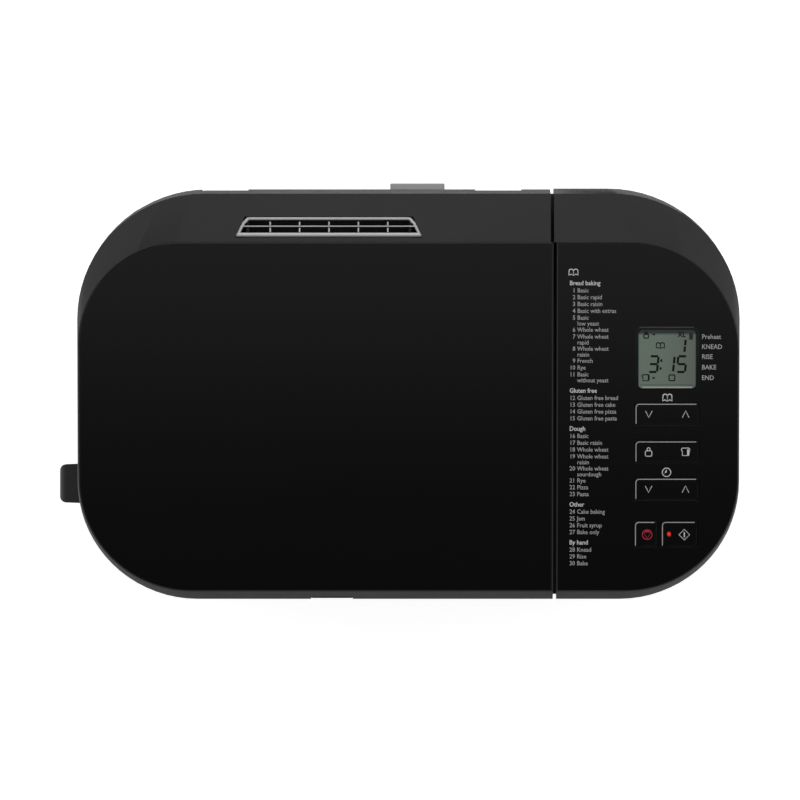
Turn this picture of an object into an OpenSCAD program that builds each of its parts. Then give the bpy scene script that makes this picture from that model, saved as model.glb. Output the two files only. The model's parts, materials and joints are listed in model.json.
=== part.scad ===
// Bread machine: a tall rounded case, a hinged lid over the oven chamber, and a
// fixed control console on the right. Origin at the middle of the footprint, on
// the surface that it stands on. +X is right, +Y is rear, +Z is up.

/* [Overall] */
// Width of the lid and console together
case_w = 398; // [332:1:478]
// Depth of the lid and console
case_d = 247; // [206:1:297]
// Height at the highest line of the lid
case_h = 362; // [302:1:435]
// Plan radius of the two rear corners
corner_rear = 79; // [66:1:95]
// Plan radius of the two front corners
corner_front = 72; // [60:1:86]
// How far the cord guard reaches past the lid's left edge
guard_over = 17; // [14:1:20]
// How far the rear spacer reaches past the lid's rear edge
rear_over = 4; // [3:0.5:6]

/* [Case] */
// Wall of the plastic case parts
wall = 2.5; // [2:0.1:3.2]
// How far the case wall stands inside the lid's rim
shell_inset = 3; // [2.5:0.1:4]
// Height of the line where lid and case part, below the highest line
parting_drop = 46; // [42:1:52]
// Thickness of the deck around the chamber mouth
deck_t = 3.6; // [3:0.1:4.5]
// Height of the rubber feet
foot_h = 5; // [4:0.5:6]
// Thickness of the base tray's floor
base_t = 3; // [2.5:0.1:4]
// Height of the base tray's rim
base_rim = 16; // [12:1:20]

/* [Top panel] */
// Slope of the glossy top towards the front, in degrees
tilt = 8; // [6.5:0.5:9]
// Distance from the lid's rear edge to the ridge
ridge_back = 33; // [28:1:38]
// Thickness of the glossy top plates
plate_t = 2.2; // [1.8:0.1:2.6]
// Drop from the glossy plane to the shoulder line
shoulder_drop = 12; // [10:0.5:14]
// Margin between the glossy panel and the lid's side edges
panel_side = 1.8; // [1.5:0.1:2.2]
// Margin between the glossy panel and the lid's front edge
panel_front = 5.4; // [4.5:0.1:6.5]
// Width of the console
console_w = 112; // [108:1:134]

/* [Oven] */
// Gap from the lid's left edge to the chamber
chamber_left = 25.5; // [22:0.5:30]
// Gap from the lid's front edge to the chamber
chamber_front = 23.5; // [20:0.5:28]
// Gap from the lid's rear edge to the chamber
chamber_rear = 33.5; // [30:0.5:40]
// Gap from the chamber to the seam between lid and console
chamber_right = 30.5; // [26:0.5:36]
// Height of the chamber floor, above the drive
chamber_z = 112; // [106:1:134]
// Space around the bread pan
pan_gap = 27; // [25:1:32]
// Distance from the chamber mouth down to the pan's rim
pan_drop = 42; // [38:1:50]
// Radius of the heater tube
heater_r = 3.25; // [3:0.05:3.9]

/* [Drive] */
// Radius of the large pulley
pulley_r = 52; // [43:1:62]
// Radius of the motor pulley
motor_pulley_r = 8; // [6.7:0.1:9.6]
// Radius of the motor can
motor_r = 34; // [28:1:40]
// Height of the motor can
motor_h = 72; // [60:1:86]
// Radius of the drive, motor and pan shafts
shaft_r = 4; // [3.4:0.1:4.8]
// Running clearance of a shaft in its bush
shaft_clear = 0.05; // [0.03:0.01:0.08]

/* [Lid hinge] */
// Distance from the lid's rear edge to the hinge axis
hinge_back = 9.5; // [9:0.1:11]
// Height of the hinge axis above the deck
hinge_rise = 11.4; // [11:0.1:14]
// Radius of the hinge pins
hinge_pin_r = 2; // [1.7:0.1:2.4]
// Length of a hinge knuckle
knuckle_l = 16; // [13:1:19]

/* [Keys] */
// Width of a rocker key
key_w = 38; // [32:1:40]
// Length of a rocker key down the panel
key_l = 12.8; // [11:0.1:14]
// Gap round a key
key_clear = 0.4; // [0.35:0.05:0.5]
// Width of the display window
lcd_w = 34.8; // [30:0.1:40]
// Length of the display window down the panel
lcd_l = 36; // [31:0.5:40]

/* [Cord guard] */
// Radius of the cord hole
cord_r = 3.75; // [3.2:0.05:4.4]
// Width and height of the cord guard
guard_w = 25.5; // [22:0.5:30]

/* [Hidden] */
$fn = 72;
thin = 0.01;
big = 600;

// Plan of the lid and console
total_w = case_w + guard_over;
total_d = case_d + rear_over;
cap_x0 = guard_over - total_w / 2;
cap_x1 = total_w / 2;
cap_y0 = -total_d / 2;
cap_y1 = cap_y0 + case_d;
ridge_y = cap_y1 - ridge_back;

// Heights of the case
deck_z1 = case_h - parting_drop - 0.4;
deck_z0 = deck_z1 - deck_t;
lid_gap = 0.4;
lid_z0 = deck_z1 + lid_gap;
base_z1 = foot_h + base_t;

// Seam between lid and console, with its small step at the ridge
seam_x = cap_x1 - console_w;
seam_clear = 0.2;
seam_step = 1.8;
lip = 0.75;

// Glossy plane and the panel on it
panel_x0 = cap_x0 + panel_side;
panel_x1 = cap_x1 - panel_side;
panel_y0 = cap_y0 + panel_front;
panel_rear_left = corner_rear - 18;
panel_rear_right = corner_rear - 14;
panel_front_r = corner_front - 5;
cap_drop = plate_t + 1.8;

// Shoulder line under the glossy plane
shoulder_y1 = cap_y1 - 3.7;
shoulder_s = (shoulder_y1 - ridge_y - shoulder_drop * sin(tilt)) / cos(tilt);
shoulder_z = case_h + shoulder_s * sin(tilt) - shoulder_drop * cos(tilt);
band_fall = atan((case_h - shoulder_z) / (shoulder_y1 - ridge_y));

// Oven chamber and bread pan
chamber_x0 = cap_x0 + chamber_left;
chamber_x1 = seam_x - chamber_right;
chamber_y0 = cap_y0 + chamber_front;
chamber_y1 = cap_y1 - chamber_rear;
chamber_w = chamber_x1 - chamber_x0;
chamber_d = chamber_y1 - chamber_y0;
chamber_r = 40;
sheet = 1;
flange = 8;
drive_x = (chamber_x0 + chamber_x1) / 2;
drive_y = (chamber_y0 + chamber_y1) / 2;
pan_w = chamber_w - 2 * pan_gap;
pan_d = chamber_d - 2 * pan_gap;
pan_r = 20;
pan_t = 1.5;
pan_z0 = chamber_z + 22;
pan_z1 = deck_z1 - pan_drop;
pan_lip = 4;
handle_z = pan_z1 + 7;
handle_wire = 2.2;
handle_x = pan_w / 2 + 6;
handle_reach = pan_d / 2 + 2;
sensor_z = chamber_z + 68;

// Heater loop
heater_z = chamber_z + 18;
heater_x = chamber_w / 2 - heater_r - 3;
heater_y = chamber_d / 2 - heater_r - 3;
heater_bend = 30;
terminal_y = 16;
terminal_bend = 5.5;
terminal_hole = terminal_y - terminal_bend;
terminal_out = 16;

// Drive train
chassis_z0 = chamber_z - 56;
chassis_t = 2.5;
chassis_z1 = chassis_z0 + chassis_t;
chassis_half = pulley_r + 14;
pulley_z0 = chassis_z0 - 22;
pulley_h = 12;
belt_t = 2.4;
belt_h = 8;
belt_clear = 0.3;
motor_x = (seam_x + cap_x1 - shell_inset) / 2 - 2;
motor_reach = motor_r + 12;
belt_span = motor_x - drive_x;
bush_r = 2 * shaft_r;
bush_l = 12;
post_r = 5;
post_in = 8;
base_screw_r = 1.8;
post_spots = [
    for (x = [drive_x - chassis_half + post_in, (drive_x + motor_x) / 2,
              motor_x + motor_reach - post_in - 2], side = [-1, 1])
        [x, drive_y + side * (chassis_half - post_in)]
];
foot_spots = [
    for (x = [cap_x0 + 62, cap_x1 - 62], y = [cap_y0 + 34, cap_y1 - 38]) [x, y]
];
foot_r_out = 10;
foot_plug_r = 3;

// Power board behind the motor, clear of the chassis plate by its parts' reach
power_w = 70;
power_part = 22;
power_x = motor_x - 6;
power_y = drive_y + chassis_half + power_part + 1.95;
motor_spots = [45, 135, 225, 315];
motor_screw_r = 2;
motor_screw_ring = motor_r - 8;

// Dog clutch under the pan, whose teeth leave each other room for the pan's twist
dog_r = 13;
dog_hole = 6;
dog_angle = 40;
dog_z0 = chamber_z + 2;
dog_hub = 6;
dog_tooth = 7;
upper_dog_z = dog_z0 + dog_hub + dog_tooth + 1;
foot_r = 40;
lug_out = 4;
lug_angle = 11;
seat_in = foot_r + lug_out + 1;
seat_out = seat_in + 5;
seat_h = 12;

// Lid hinge
hinge_y = cap_y1 - hinge_back;
hinge_z = deck_z1 + hinge_rise;
knuckle_r = hinge_pin_r + 3;
ear_t = 4;
ear_gap = 0.3;
ear_reach = knuckle_l / 2 + ear_gap + ear_t;
hinge_spots = [cap_x0 + corner_rear + 10, seam_x - 33];
lid_notch_y = hinge_y - 3;
lid_notch_z = hinge_z - 5;
liner_z0 = lid_z0 + 2;
liner_t = 2.5;
liner_fit = 0.5;
liner_in = wall + liner_fit;
liner_z1 = liner_z0 + liner_t;
liner_y1 = hinge_y - knuckle_r - 2.5;
inner_gap = 4;
inner_t = 1.2;
inner_z0 = deck_z1 - 2;

lid_screw_r = 1.5;
lid_screw_spots = [
    for (x = [chamber_x0 - 9, chamber_x1 + 12], y = [chamber_y0 + 50, chamber_y1 - 30]) [x, y]
];

// Steam vent in the rear band
vent_front_y = ridge_y + 2.9;
vent_rear_y = vent_front_y + 12.6;
vent_x0 = cap_x0 + 95.25;
vent_l = 112.2;
vent_taper = 5.7;
vent_pitch = 17.6;
vent_fins = 5;
vent_mid_y = vent_front_y + 6.4;
vent_mid = 0.9;
vent_z0 = case_h - 11;
duct_t = 1.5;
duct_y1 = min(vent_rear_y - 0.5, liner_y1);

// Finger notch in the lid's front rim
notch_x = cap_x0 + 153;
notch_w = 25;
notch_h = 8;

// Console layout, with distances down the panel measured from the ridge
key_x = cap_x1 - 44;
key_top = 0.3;
key_t = 3;
program_y = -14.3;
size_crust_y = -36.9;
timer_y = -59.3;
press_y = -86.3;
press_l = 15;
stop_w = 13.2;
stop_x = key_x - 12.6;
start_w = 21.2;
start_x = key_x + 7.6;
lamp_x = start_x - 6.2;
lamp_r = 1;
lcd_y = 18.8;
board_z1 = -11;
board_t = 1.6;
pivot_z = -5.5;
pivot_r = 1.2;
plunger_x = key_w / 2 - 7;
switch_w = 6;
switch_h = 2.3;
rocker_rows = [program_y, size_crust_y, timer_y];
rocker_spots = [for (y = rocker_rows, side = [-1, 1]) [key_x + side * plunger_x, y]];
start_plunger = 3;
press_spots = [[stop_x, press_y], [start_x + start_plunger, press_y]];
board_x0 = seam_x + 12;
board_x1 = cap_x1 - 20;
board_s0 = slope(press_y - 8);
board_s1 = slope(lcd_y + lcd_l / 2 + 12);

// Cord guard on the left wall
guard_y = cap_y0 + 68;
guard_z = 60;
guard_in = 8;

// Rear spacer
spacer_x = 14;
spacer_w = 33;
spacer_h = 12;
spacer_z = case_h - 106;

function slope(y) = (y - ridge_y) / cos(tilt);

// Where the inside of the lid's front wall starts to lean, and where it meets the top
lean_drop = shoulder_drop + cap_drop / 2;
lean_s = slope(cap_y0 + 0.4) - shoulder_drop * tan(tilt) + wall;
lean_y0 = ridge_y + lean_s * cos(tilt) + lean_drop * sin(tilt);
lean_z0 = case_h + lean_s * sin(tilt) - lean_drop * cos(tilt);
lean_y1 = panel_y0 + (wall - lip) * cos(tilt) + cap_drop * sin(tilt);
lean_z1 = case_h + (slope(panel_y0) + wall - lip) * sin(tilt) - cap_drop * cos(tilt);
lean = (lean_y1 - lean_y0) * max(0, liner_z1 - lean_z0) / (lean_z1 - lean_z0);
liner_y0 = max(cap_y0 + wall, lean_y0 + lean) + liner_fit;

// ---- Shared shapes ----

// Rounded rectangle between two corners, with its own rear-left, rear-right and front radii
module rounded(x0, x1, y0, y1, rear_left, rear_right, front) {
    polygon([
        [x0 + front, y0], [x1 - front, y0], [x1, y0 + front], [x1, y1 - rear_right],
        [x1 - rear_right, y1], [x0 + rear_left, y1], [x0, y1 - rear_left], [x0, y0 + front]
    ]);
    translate([x0 + front, y0 + front]) circle(r = front);
    translate([x1 - front, y0 + front]) circle(r = front);
    translate([x1 - rear_right, y1 - rear_right]) circle(r = rear_right);
    translate([x0 + rear_left, y1 - rear_left]) circle(r = rear_left);
}

module centred(w, d, r) {
    rounded(-w / 2, w / 2, -d / 2, d / 2, r, r, r);
}

// Plan outline of the case, inset all round
module case_outline(inset) {
    rounded(cap_x0 + inset, cap_x1 - inset, cap_y0 + inset, cap_y1 - inset,
            corner_rear - inset, corner_rear - inset, corner_front - inset);
}

// Outline of the glossy top in its own sloping plane
module panel_outline(grow) {
    rounded(panel_x0 - grow, panel_x1 + grow, slope(panel_y0) - grow, grow,
            panel_rear_left + grow, panel_rear_right + grow, panel_front_r + grow);
}

// Outline of the shoulder line, in a plane under the glossy one
module shoulder_outline(inset) {
    rounded(cap_x0 + 0.3 + inset, cap_x1 - 0.3 - inset,
            slope(cap_y0 + 0.4) - shoulder_drop * tan(tilt) + inset, shoulder_s - inset,
            corner_rear - 3 - inset, corner_rear - 3 - inset, corner_front - 1 - inset);
}

// Puts children in the glossy plane: local Y runs up the slope, local Z out of it
module on_panel() {
    translate([0, ridge_y, case_h]) rotate([tilt, 0, 0]) children();
}

// Puts children in the plane of the textured band behind the ridge
module on_band() {
    translate([0, ridge_y, case_h]) rotate([-band_fall, 0, 0]) children();
}

// Solid outer form of lid and console together, inset for the inside of its wall
module cap_form(inset, drop, z0) {
    hull() {
        on_panel() translate([0, 0, -drop - thin])
            linear_extrude(thin) panel_outline(lip - inset);
        on_panel() translate([0, 0, -shoulder_drop - drop / 2])
            linear_extrude(thin) shoulder_outline(inset);
        translate([0, 0, z0]) linear_extrude(thin) case_outline(inset);
    }
}

// Room on the lid's side of the seam, in and out of its step
module lid_side(inset) {
    translate([-big, -big, 0])
        cube([big + seam_x - seam_clear - inset, big + ridge_y, big]);
    translate([-big, ridge_y - 1, 0])
        cube([big + seam_x - seam_step - inset, big, big]);
}

// Room on the console's side of the seam
module console_side(inset) {
    translate([seam_x + seam_step + inset, -big, 0]) cube([big, big + ridge_y, big]);
    translate([seam_x + seam_clear + inset, ridge_y, 0]) cube([big, big, big]);
}

// Steam vent's outline, narrower at the rear
module vent_outline(grow) {
    polygon([
        [vent_x0 - grow, vent_front_y - grow], [vent_x0 + vent_l + grow, vent_front_y - grow],
        [vent_x0 + vent_l - vent_taper + grow, vent_rear_y + grow],
        [vent_x0 + vent_taper - grow, vent_rear_y + grow]
    ]);
}

// Ring sector, used for lugs, dog teeth and lips
module sector(r0, r1, angle, h) {
    far = 2 * r1;
    intersection() {
        difference() {
            cylinder(r = r1, h = h);
            translate([0, 0, -1]) cylinder(r = r0, h = h + 2);
        }
        translate([0, 0, -1]) linear_extrude(h + 2) polygon([
            [0, 0], [far, -far * tan(angle / 2)], [far, far * tan(angle / 2)]
        ]);
    }
}

module rod_x(r, l) {
    rotate([0, 90, 0]) cylinder(r = r, h = l, center = true);
}

// ---- Case ----

module base_tray() {
    color([0.1, 0.1, 0.105]) difference() {
        union() {
            translate([0, 0, foot_h]) linear_extrude(base_t) case_outline(shell_inset + 2);
            translate([0, 0, base_z1]) linear_extrude(base_rim - base_t) difference() {
                case_outline(shell_inset + wall);
                case_outline(shell_inset + 2 * wall);
            }
            for (side = [-1, 1])
                translate([power_x + side * (power_w / 2 - 1) - 4, power_y - 3, base_z1])
                    cube([8, 6 + board_t, 14]);
        }
        for (spot = foot_spots) translate([spot[0], spot[1], foot_h - 1])
            cylinder(r = foot_plug_r, h = base_t + 2);
        for (spot = post_spots) translate([spot[0], spot[1], foot_h - 1])
            cylinder(r = base_screw_r, h = base_t + 2);
        // Air slots under the motor
        for (i = [-3 : 3]) translate([motor_x + i * 9 - 2, drive_y - 22, foot_h - 1])
            cube([4, 44, base_t + 2]);
        // Slots that hold the power board
        translate([power_x - power_w / 2, power_y, base_z1 + 2]) cube([power_w, board_t, 20]);
    }
}

module rubber_feet() {
    color([0.06, 0.06, 0.06]) for (spot = foot_spots) translate([spot[0], spot[1], 0]) {
        cylinder(r = foot_r_out, h = foot_h);
        cylinder(r = foot_plug_r, h = base_z1);
        translate([0, 0, base_z1]) cylinder(r = foot_plug_r + 1.5, h = 2);
    }
}

module base_screws() {
    color([0.7, 0.7, 0.72]) for (spot = post_spots) translate([spot[0], spot[1], 0]) {
        translate([0, 0, foot_h - 1.6]) cylinder(r = 3.5, h = 1.6);
        translate([0, 0, foot_h]) cylinder(r = base_screw_r, h = base_t + 9);
    }
}

module outer_shell() {
    slot_l = 42;
    color([0.12, 0.12, 0.125]) difference() {
        translate([0, 0, base_z1]) linear_extrude(deck_z0 - base_z1) difference() {
            case_outline(shell_inset);
            case_outline(shell_inset + wall);
        }
        // Opening for the cord guard
        translate([cap_x0 - 5, guard_y - guard_w / 2, guard_z - guard_w / 2])
            cube([40, guard_w, guard_w]);
        // Cooling slots in the rear wall
        for (i = [0 : 9]) translate([cap_x1 - corner_rear - 8 - 7 * i, cap_y1 - 20, 44])
            cube([3, 40, slot_l]);
        // Slot for the rear spacer's tongue
        translate([spacer_x - 8, cap_y1 - 20, spacer_z - 3]) cube([16, 40, 6]);
    }
}

module deck_frame() {
    ear_x = knuckle_l / 2 + ear_gap;
    color([0.13, 0.13, 0.135]) difference() {
        union() {
            translate([0, 0, deck_z0]) linear_extrude(deck_t) difference() {
                case_outline(shell_inset);
                chamber_outline(0);
                rounded(seam_x + 14, cap_x1 - 22, cap_y0 + 36, cap_y1 - 46, 30, 30, 30);
            }
            // Ledge under the lid's finger notch
            translate([notch_x - notch_w / 2, cap_y0 + 0.5, deck_z0])
                cube([notch_w, shell_inset + 4, deck_t]);
            for (x = hinge_spots, side = [-1, 1])
                translate([x + (side > 0 ? ear_x : -ear_x - ear_t), 0, 0]) {
                    translate([0, hinge_y, hinge_z]) rotate([0, 90, 0])
                        cylinder(r = knuckle_r, h = ear_t);
                    translate([0, hinge_y - knuckle_r, deck_z1 - 1])
                        cube([ear_t, 2 * knuckle_r - 3.5, hinge_rise + 1]);
                }
        }
        for (x = hinge_spots) translate([x, hinge_y, hinge_z])
            rod_x(hinge_pin_r, knuckle_l + 4 * ear_t);
    }
}

module hinge_pins() {
    color([0.75, 0.75, 0.77]) for (x = hinge_spots) translate([x, hinge_y, hinge_z])
        rod_x(hinge_pin_r, knuckle_l + 2 * (ear_gap + ear_t));
}

module cord_guard() {
    x1 = cap_x0 + shell_inset + guard_in;
    color([0.09, 0.09, 0.095]) difference() {
        translate([0, guard_y, guard_z]) rotate([90, 0, 90])
            translate([0, 0, cap_x0 - guard_over]) linear_extrude(x1 - cap_x0 + guard_over)
                square([guard_w, guard_w], center = true);
        translate([cap_x0 - guard_over, guard_y, guard_z]) rod_x(cord_r, 4 * big);
        // Rounded outer corners
        for (side = [-1, 1], up = [-1, 1])
            translate([cap_x0 - guard_over - 1, guard_y + side * guard_w / 2,
                       guard_z + up * guard_w / 2])
                rotate([0, 90, 0]) corner_cut(4, guard_over - 2, side, up);
    }
}

// Takes the sharp edge off a long square corner, leaving a round of radius r
module corner_cut(r, l, side, up) {
    difference() {
        translate([up > 0 ? -1 : -r + 1, side > 0 ? -r : -1, 0])
            translate([up > 0 ? 0 : -1, 0, 0]) cube([r + 1, r + 1, l]);
        translate([up * r, -side * r, -1]) cylinder(r = r, h = l + 2);
    }
}

module rear_spacer() {
    y0 = cap_y1 - shell_inset;
    color([0.62, 0.63, 0.64]) {
        translate([spacer_x - spacer_w / 2, y0, spacer_z - spacer_h / 2])
            cube([spacer_w, shell_inset + rear_over, spacer_h]);
        translate([spacer_x - 8, y0 - wall - 3, spacer_z - 3]) cube([16, wall + 3, 6]);
    }
}

// ---- Console ----

module console_cover() {
    rib = 6;
    color([0.14, 0.14, 0.145]) difference() {
        union() {
            difference() {
                intersection() {
                    cap_form(0, 0, deck_z1);
                    console_side(0);
                }
                intersection() {
                    cap_form(wall, cap_drop, deck_z1 - 1);
                    console_side(wall);
                }
            }
            // Foot flange that sits on the deck
            translate([0, 0, deck_z1]) linear_extrude(wall) intersection() {
                difference() {
                    case_outline(0.5);
                    case_outline(wall + rib);
                }
                translate([seam_x + seam_step, -big]) square([big, 2 * big]);
            }
            // Bosses that carry the control board
            for (x = [board_x0 + 4, board_x1 - 4], s = [board_s0 + 4, board_s1 - 4])
                on_panel() translate([x, s, board_z1])
                    cylinder(r = 3, h = -board_z1 - plate_t - 1);
        }
        on_panel() translate([0, 0, -plate_t]) linear_extrude(4) console_plate_outline(0);
        console_openings(1);
    }
}

module console_plate_outline(inset) {
    intersection() {
        panel_outline(-inset);
        translate([seam_x + seam_step + lip + inset, -big]) square([big, 2 * big]);
    }
}

// Holes through the console for the display and the keys, with a gap all round
module console_openings(gap) {
    on_panel() {
        translate([key_x, slope(lcd_y), 0])
            cube([lcd_w + 2 * gap - 0.8, lcd_l + 2 * gap - 0.8, 12], center = true);
        for (y = rocker_rows) translate([key_x, slope(y), 0])
            cube([key_w + 2 * gap, key_l + 2 * gap, 12], center = true);
        translate([stop_x, slope(press_y), 0])
            cube([stop_w + 2 * gap, press_l + 2 * gap, 12], center = true);
        translate([start_x, slope(press_y), 0])
            cube([start_w + 2 * gap, press_l + 2 * gap, 12], center = true);
    }
}

module console_panel() {
    color([0.02, 0.02, 0.02]) difference() {
        on_panel() translate([0, 0, -plate_t]) linear_extrude(plate_t)
            console_plate_outline(0);
        console_openings(key_clear);
    }
}

module lcd_window() {
    color([0.62, 0.66, 0.6]) on_panel() translate([key_x, slope(lcd_y), -plate_t])
        translate([-lcd_w / 2, -lcd_l / 2, 0]) cube([lcd_w, lcd_l, plate_t - 0.1]);
}

module lcd_module() {
    frame = 3;
    color([0.45, 0.48, 0.44]) on_panel() translate([key_x, slope(lcd_y), 0]) {
        translate([-lcd_w / 2 - frame, -lcd_l / 2 - frame, board_z1])
            cube([lcd_w + 2 * frame, lcd_l + 2 * frame, -board_z1 - cap_drop]);
        translate([-lcd_w / 2, -lcd_l / 2, -cap_drop])
            cube([lcd_w, lcd_l, cap_drop - plate_t]);
    }
}

module control_board() {
    color([0.1, 0.35, 0.2]) on_panel() translate([board_x0, board_s0, board_z1 - board_t])
        cube([board_x1 - board_x0, board_s1 - board_s0, board_t]);
}

module key_switches() {
    color([0.75, 0.75, 0.72]) on_panel() for (spot = concat(rocker_spots, press_spots))
        translate([spot[0], slope(spot[1]), board_z1]) {
            translate([-switch_w / 2, -switch_w / 2, 0]) cube([switch_w, switch_w, 1.7]);
            cylinder(r = 1.6, h = switch_h);
        }
}

module key_cradles() {
    color([0.8, 0.8, 0.78]) on_panel() for (y = rocker_rows)
        translate([key_x, slope(y), 0]) difference() {
            translate([-3, -key_l / 2 + 1.5, board_z1])
                cube([6, key_l - 3, pivot_z - board_z1 + 0.3]);
            translate([0, 0, pivot_z]) rotate([90, 0, 0])
                cylinder(r = pivot_r + shaft_clear, h = 2 * key_l, center = true);
        }
}

module start_lamp() {
    color([0.85, 0.1, 0.08]) on_panel() translate([lamp_x, slope(press_y), board_z1])
        cylinder(r = lamp_r, h = key_top - board_z1);
}

// Rocker key: a cap with a web and a round bead that it tilts on, and two plungers
module rocker_key(y) {
    color([0.03, 0.03, 0.03]) on_panel() translate([key_x, slope(y), 0]) {
        translate([-key_w / 2, -key_l / 2, key_top - key_t]) cube([key_w, key_l, key_t]);
        translate([-0.8, -key_l / 2 + 2, pivot_z]) cube([1.6, key_l - 4, -pivot_z - 2]);
        translate([0, 0, pivot_z]) rotate([90, 0, 0])
            cylinder(r = pivot_r, h = key_l - 3, center = true);
        for (side = [-1, 1]) translate([side * plunger_x, 0, board_z1 + switch_h + 0.9])
            cylinder(r = 1.5, h = -board_z1 - switch_h - 2.5);
    }
}

module program_key() {
    rocker_key(program_y);
}

module size_crust_key() {
    rocker_key(size_crust_y);
}

module timer_key() {
    rocker_key(timer_y);
}

// Push key: a cap with one plunger, and a hole if a lamp shines through it
module push_key(x, w, plunger, lamp) {
    color([0.03, 0.03, 0.03]) on_panel() translate([x, slope(press_y), 0]) difference() {
        union() {
            translate([-w / 2, -press_l / 2, key_top - key_t]) cube([w, press_l, key_t]);
            translate([plunger, 0, board_z1 + switch_h + 0.9])
                cylinder(r = 2, h = -board_z1 - switch_h - 2.5);
        }
        translate([lamp, 0, board_z1]) cylinder(r = lamp_r + 0.5, h = 20);
    }
}

module stop_key() {
    push_key(stop_x, stop_w, 0, -20);
}

module start_key() {
    push_key(start_x, start_w, start_plunger, lamp_x - start_x);
}

module power_board() {
    z0 = base_z1 + 2;
    color([0.2, 0.4, 0.22]) translate([power_x, power_y, z0]) {
        translate([-power_w / 2, 0, 0]) cube([power_w, board_t, 88]);
        translate([-30, -power_part, 46]) cube([26, power_part, 24]);
        translate([4, -16, 50]) cube([20, 16, 16]);
        translate([18, 0, 32]) rotate([90, 0, 0]) cylinder(r = 6, h = 18);
        translate([-14, 0, 30]) rotate([90, 0, 0]) cylinder(r = 5, h = 14);
    }
}

// ---- Oven ----

module chamber_outline(grow) {
    rounded(chamber_x0 - grow, chamber_x1 + grow, chamber_y0 - grow, chamber_y1 + grow,
            chamber_r + grow, chamber_r + grow, chamber_r + grow);
}

module oven_chamber() {
    color([0.72, 0.73, 0.74]) difference() {
        union() {
            translate([0, 0, chamber_z - sheet]) linear_extrude(deck_z0 - chamber_z + sheet)
                chamber_outline(sheet);
            translate([0, 0, deck_z0 - sheet]) linear_extrude(sheet) chamber_outline(flange);
        }
        translate([0, 0, chamber_z]) linear_extrude(big) chamber_outline(0);
        translate([drive_x, drive_y, chamber_z - 5]) cylinder(r = 9, h = 10);
        for (side = [-1, 1]) translate([chamber_x1, drive_y + side * terminal_hole, heater_z])
            rod_x(heater_r + 0.4, 20);
        translate([drive_x, chamber_y1, sensor_z]) rotate([90, 0, 0])
            cylinder(r = 4, h = 20, center = true);
    }
}

module temperature_sensor() {
    color([0.8, 0.8, 0.8]) translate([drive_x, chamber_y1, sensor_z]) rotate([90, 0, 0]) {
        translate([0, 0, -14]) cylinder(r = 4, h = 18);
        translate([0, 0, -sheet - 3]) cylinder(r = 8, h = 3);
    }
}

module thermal_fuse() {
    color([0.85, 0.82, 0.75])
        translate([chamber_x1 + sheet, drive_y - 30, chamber_z + 90]) {
            translate([0, -12, -7]) cube([1.5, 24, 14]);
            translate([4, 0, 0]) rotate([90, 0, 0]) cylinder(r = 3, h = 20, center = true);
        }
}

module heat_shield() {
    color([0.68, 0.69, 0.7])
        difference() {
            translate([chamber_x1 + sheet + 9, drive_y - chassis_half + 4, chassis_z1]) {
                cube([sheet, 2 * chassis_half - 8, deck_z0 - chassis_z1 - 14]);
                cube([12, 2 * chassis_half - 8, sheet]);
            }
            // Holes for the heater's ends
            for (side = [-1, 1])
                translate([chamber_x1, drive_y + side * terminal_hole, heater_z])
                    rod_x(heater_r + 1, 40);
        }
}

// Quarter bend of the heater tube, turned about its own corner
module heater_bend(x, y, r, turn) {
    translate([x, y, 0]) rotate([0, 0, turn]) rotate_extrude(angle = 90)
        translate([r, 0]) circle(r = heater_r);
}

module heater_element() {
    bend_x = heater_x - heater_bend;
    bend_y = heater_y - heater_bend;
    color([0.25, 0.25, 0.27]) translate([drive_x, drive_y, heater_z]) {
        for (side = [-1, 1]) {
            translate([0, side * heater_y, 0]) rod_x(heater_r, 2 * bend_x);
            translate([heater_x, side * (bend_y + terminal_y) / 2, 0]) rotate([90, 0, 0])
                cylinder(r = heater_r, h = bend_y - terminal_y, center = true);
            translate([heater_x + terminal_bend + terminal_out / 2,
                       side * terminal_hole, 0])
                rod_x(heater_r, terminal_out);
        }
        translate([-heater_x, 0, 0]) rotate([90, 0, 0])
            cylinder(r = heater_r, h = 2 * bend_y, center = true);
        heater_bend(bend_x, bend_y, heater_bend, 0);
        heater_bend(-bend_x, bend_y, heater_bend, 90);
        heater_bend(-bend_x, -bend_y, heater_bend, 180);
        heater_bend(bend_x, -bend_y, heater_bend, 270);
        heater_bend(heater_x + terminal_bend, terminal_y, terminal_bend, 180);
        heater_bend(heater_x + terminal_bend, -terminal_y, terminal_bend, 90);
    }
}

module heater_clips() {
    clip = 8;
    reach = 3 + 2 * heater_r;
    color([0.7, 0.7, 0.72]) for (x = [-1, 1], y = [-1, 1])
        translate([drive_x + x * (heater_x - heater_bend) / 2, drive_y + y * heater_y, 0])
            difference() {
                translate([-clip / 2, y > 0 ? -heater_r - 1.5 : -3 - heater_r,
                           heater_z - heater_r - 1.5])
                    cube([clip, reach + 1.5, 2 * heater_r + 3]);
                translate([0, 0, heater_z]) rod_x(heater_r, 3 * clip);
            }
}

module pan_seat() {
    color([0.6, 0.61, 0.62]) translate([drive_x, drive_y, chamber_z]) {
        difference() {
            cylinder(r = seat_out, h = seat_h);
            translate([0, 0, -1]) cylinder(r = seat_in, h = seat_h + 2);
        }
        for (turn = [0 : 90 : 270]) rotate([0, 0, turn]) translate([0, 0, seat_h - 4.5])
            sector(foot_r + 0.8, seat_in + 1, lug_angle, 4);
    }
}

// ---- Drive ----

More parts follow.
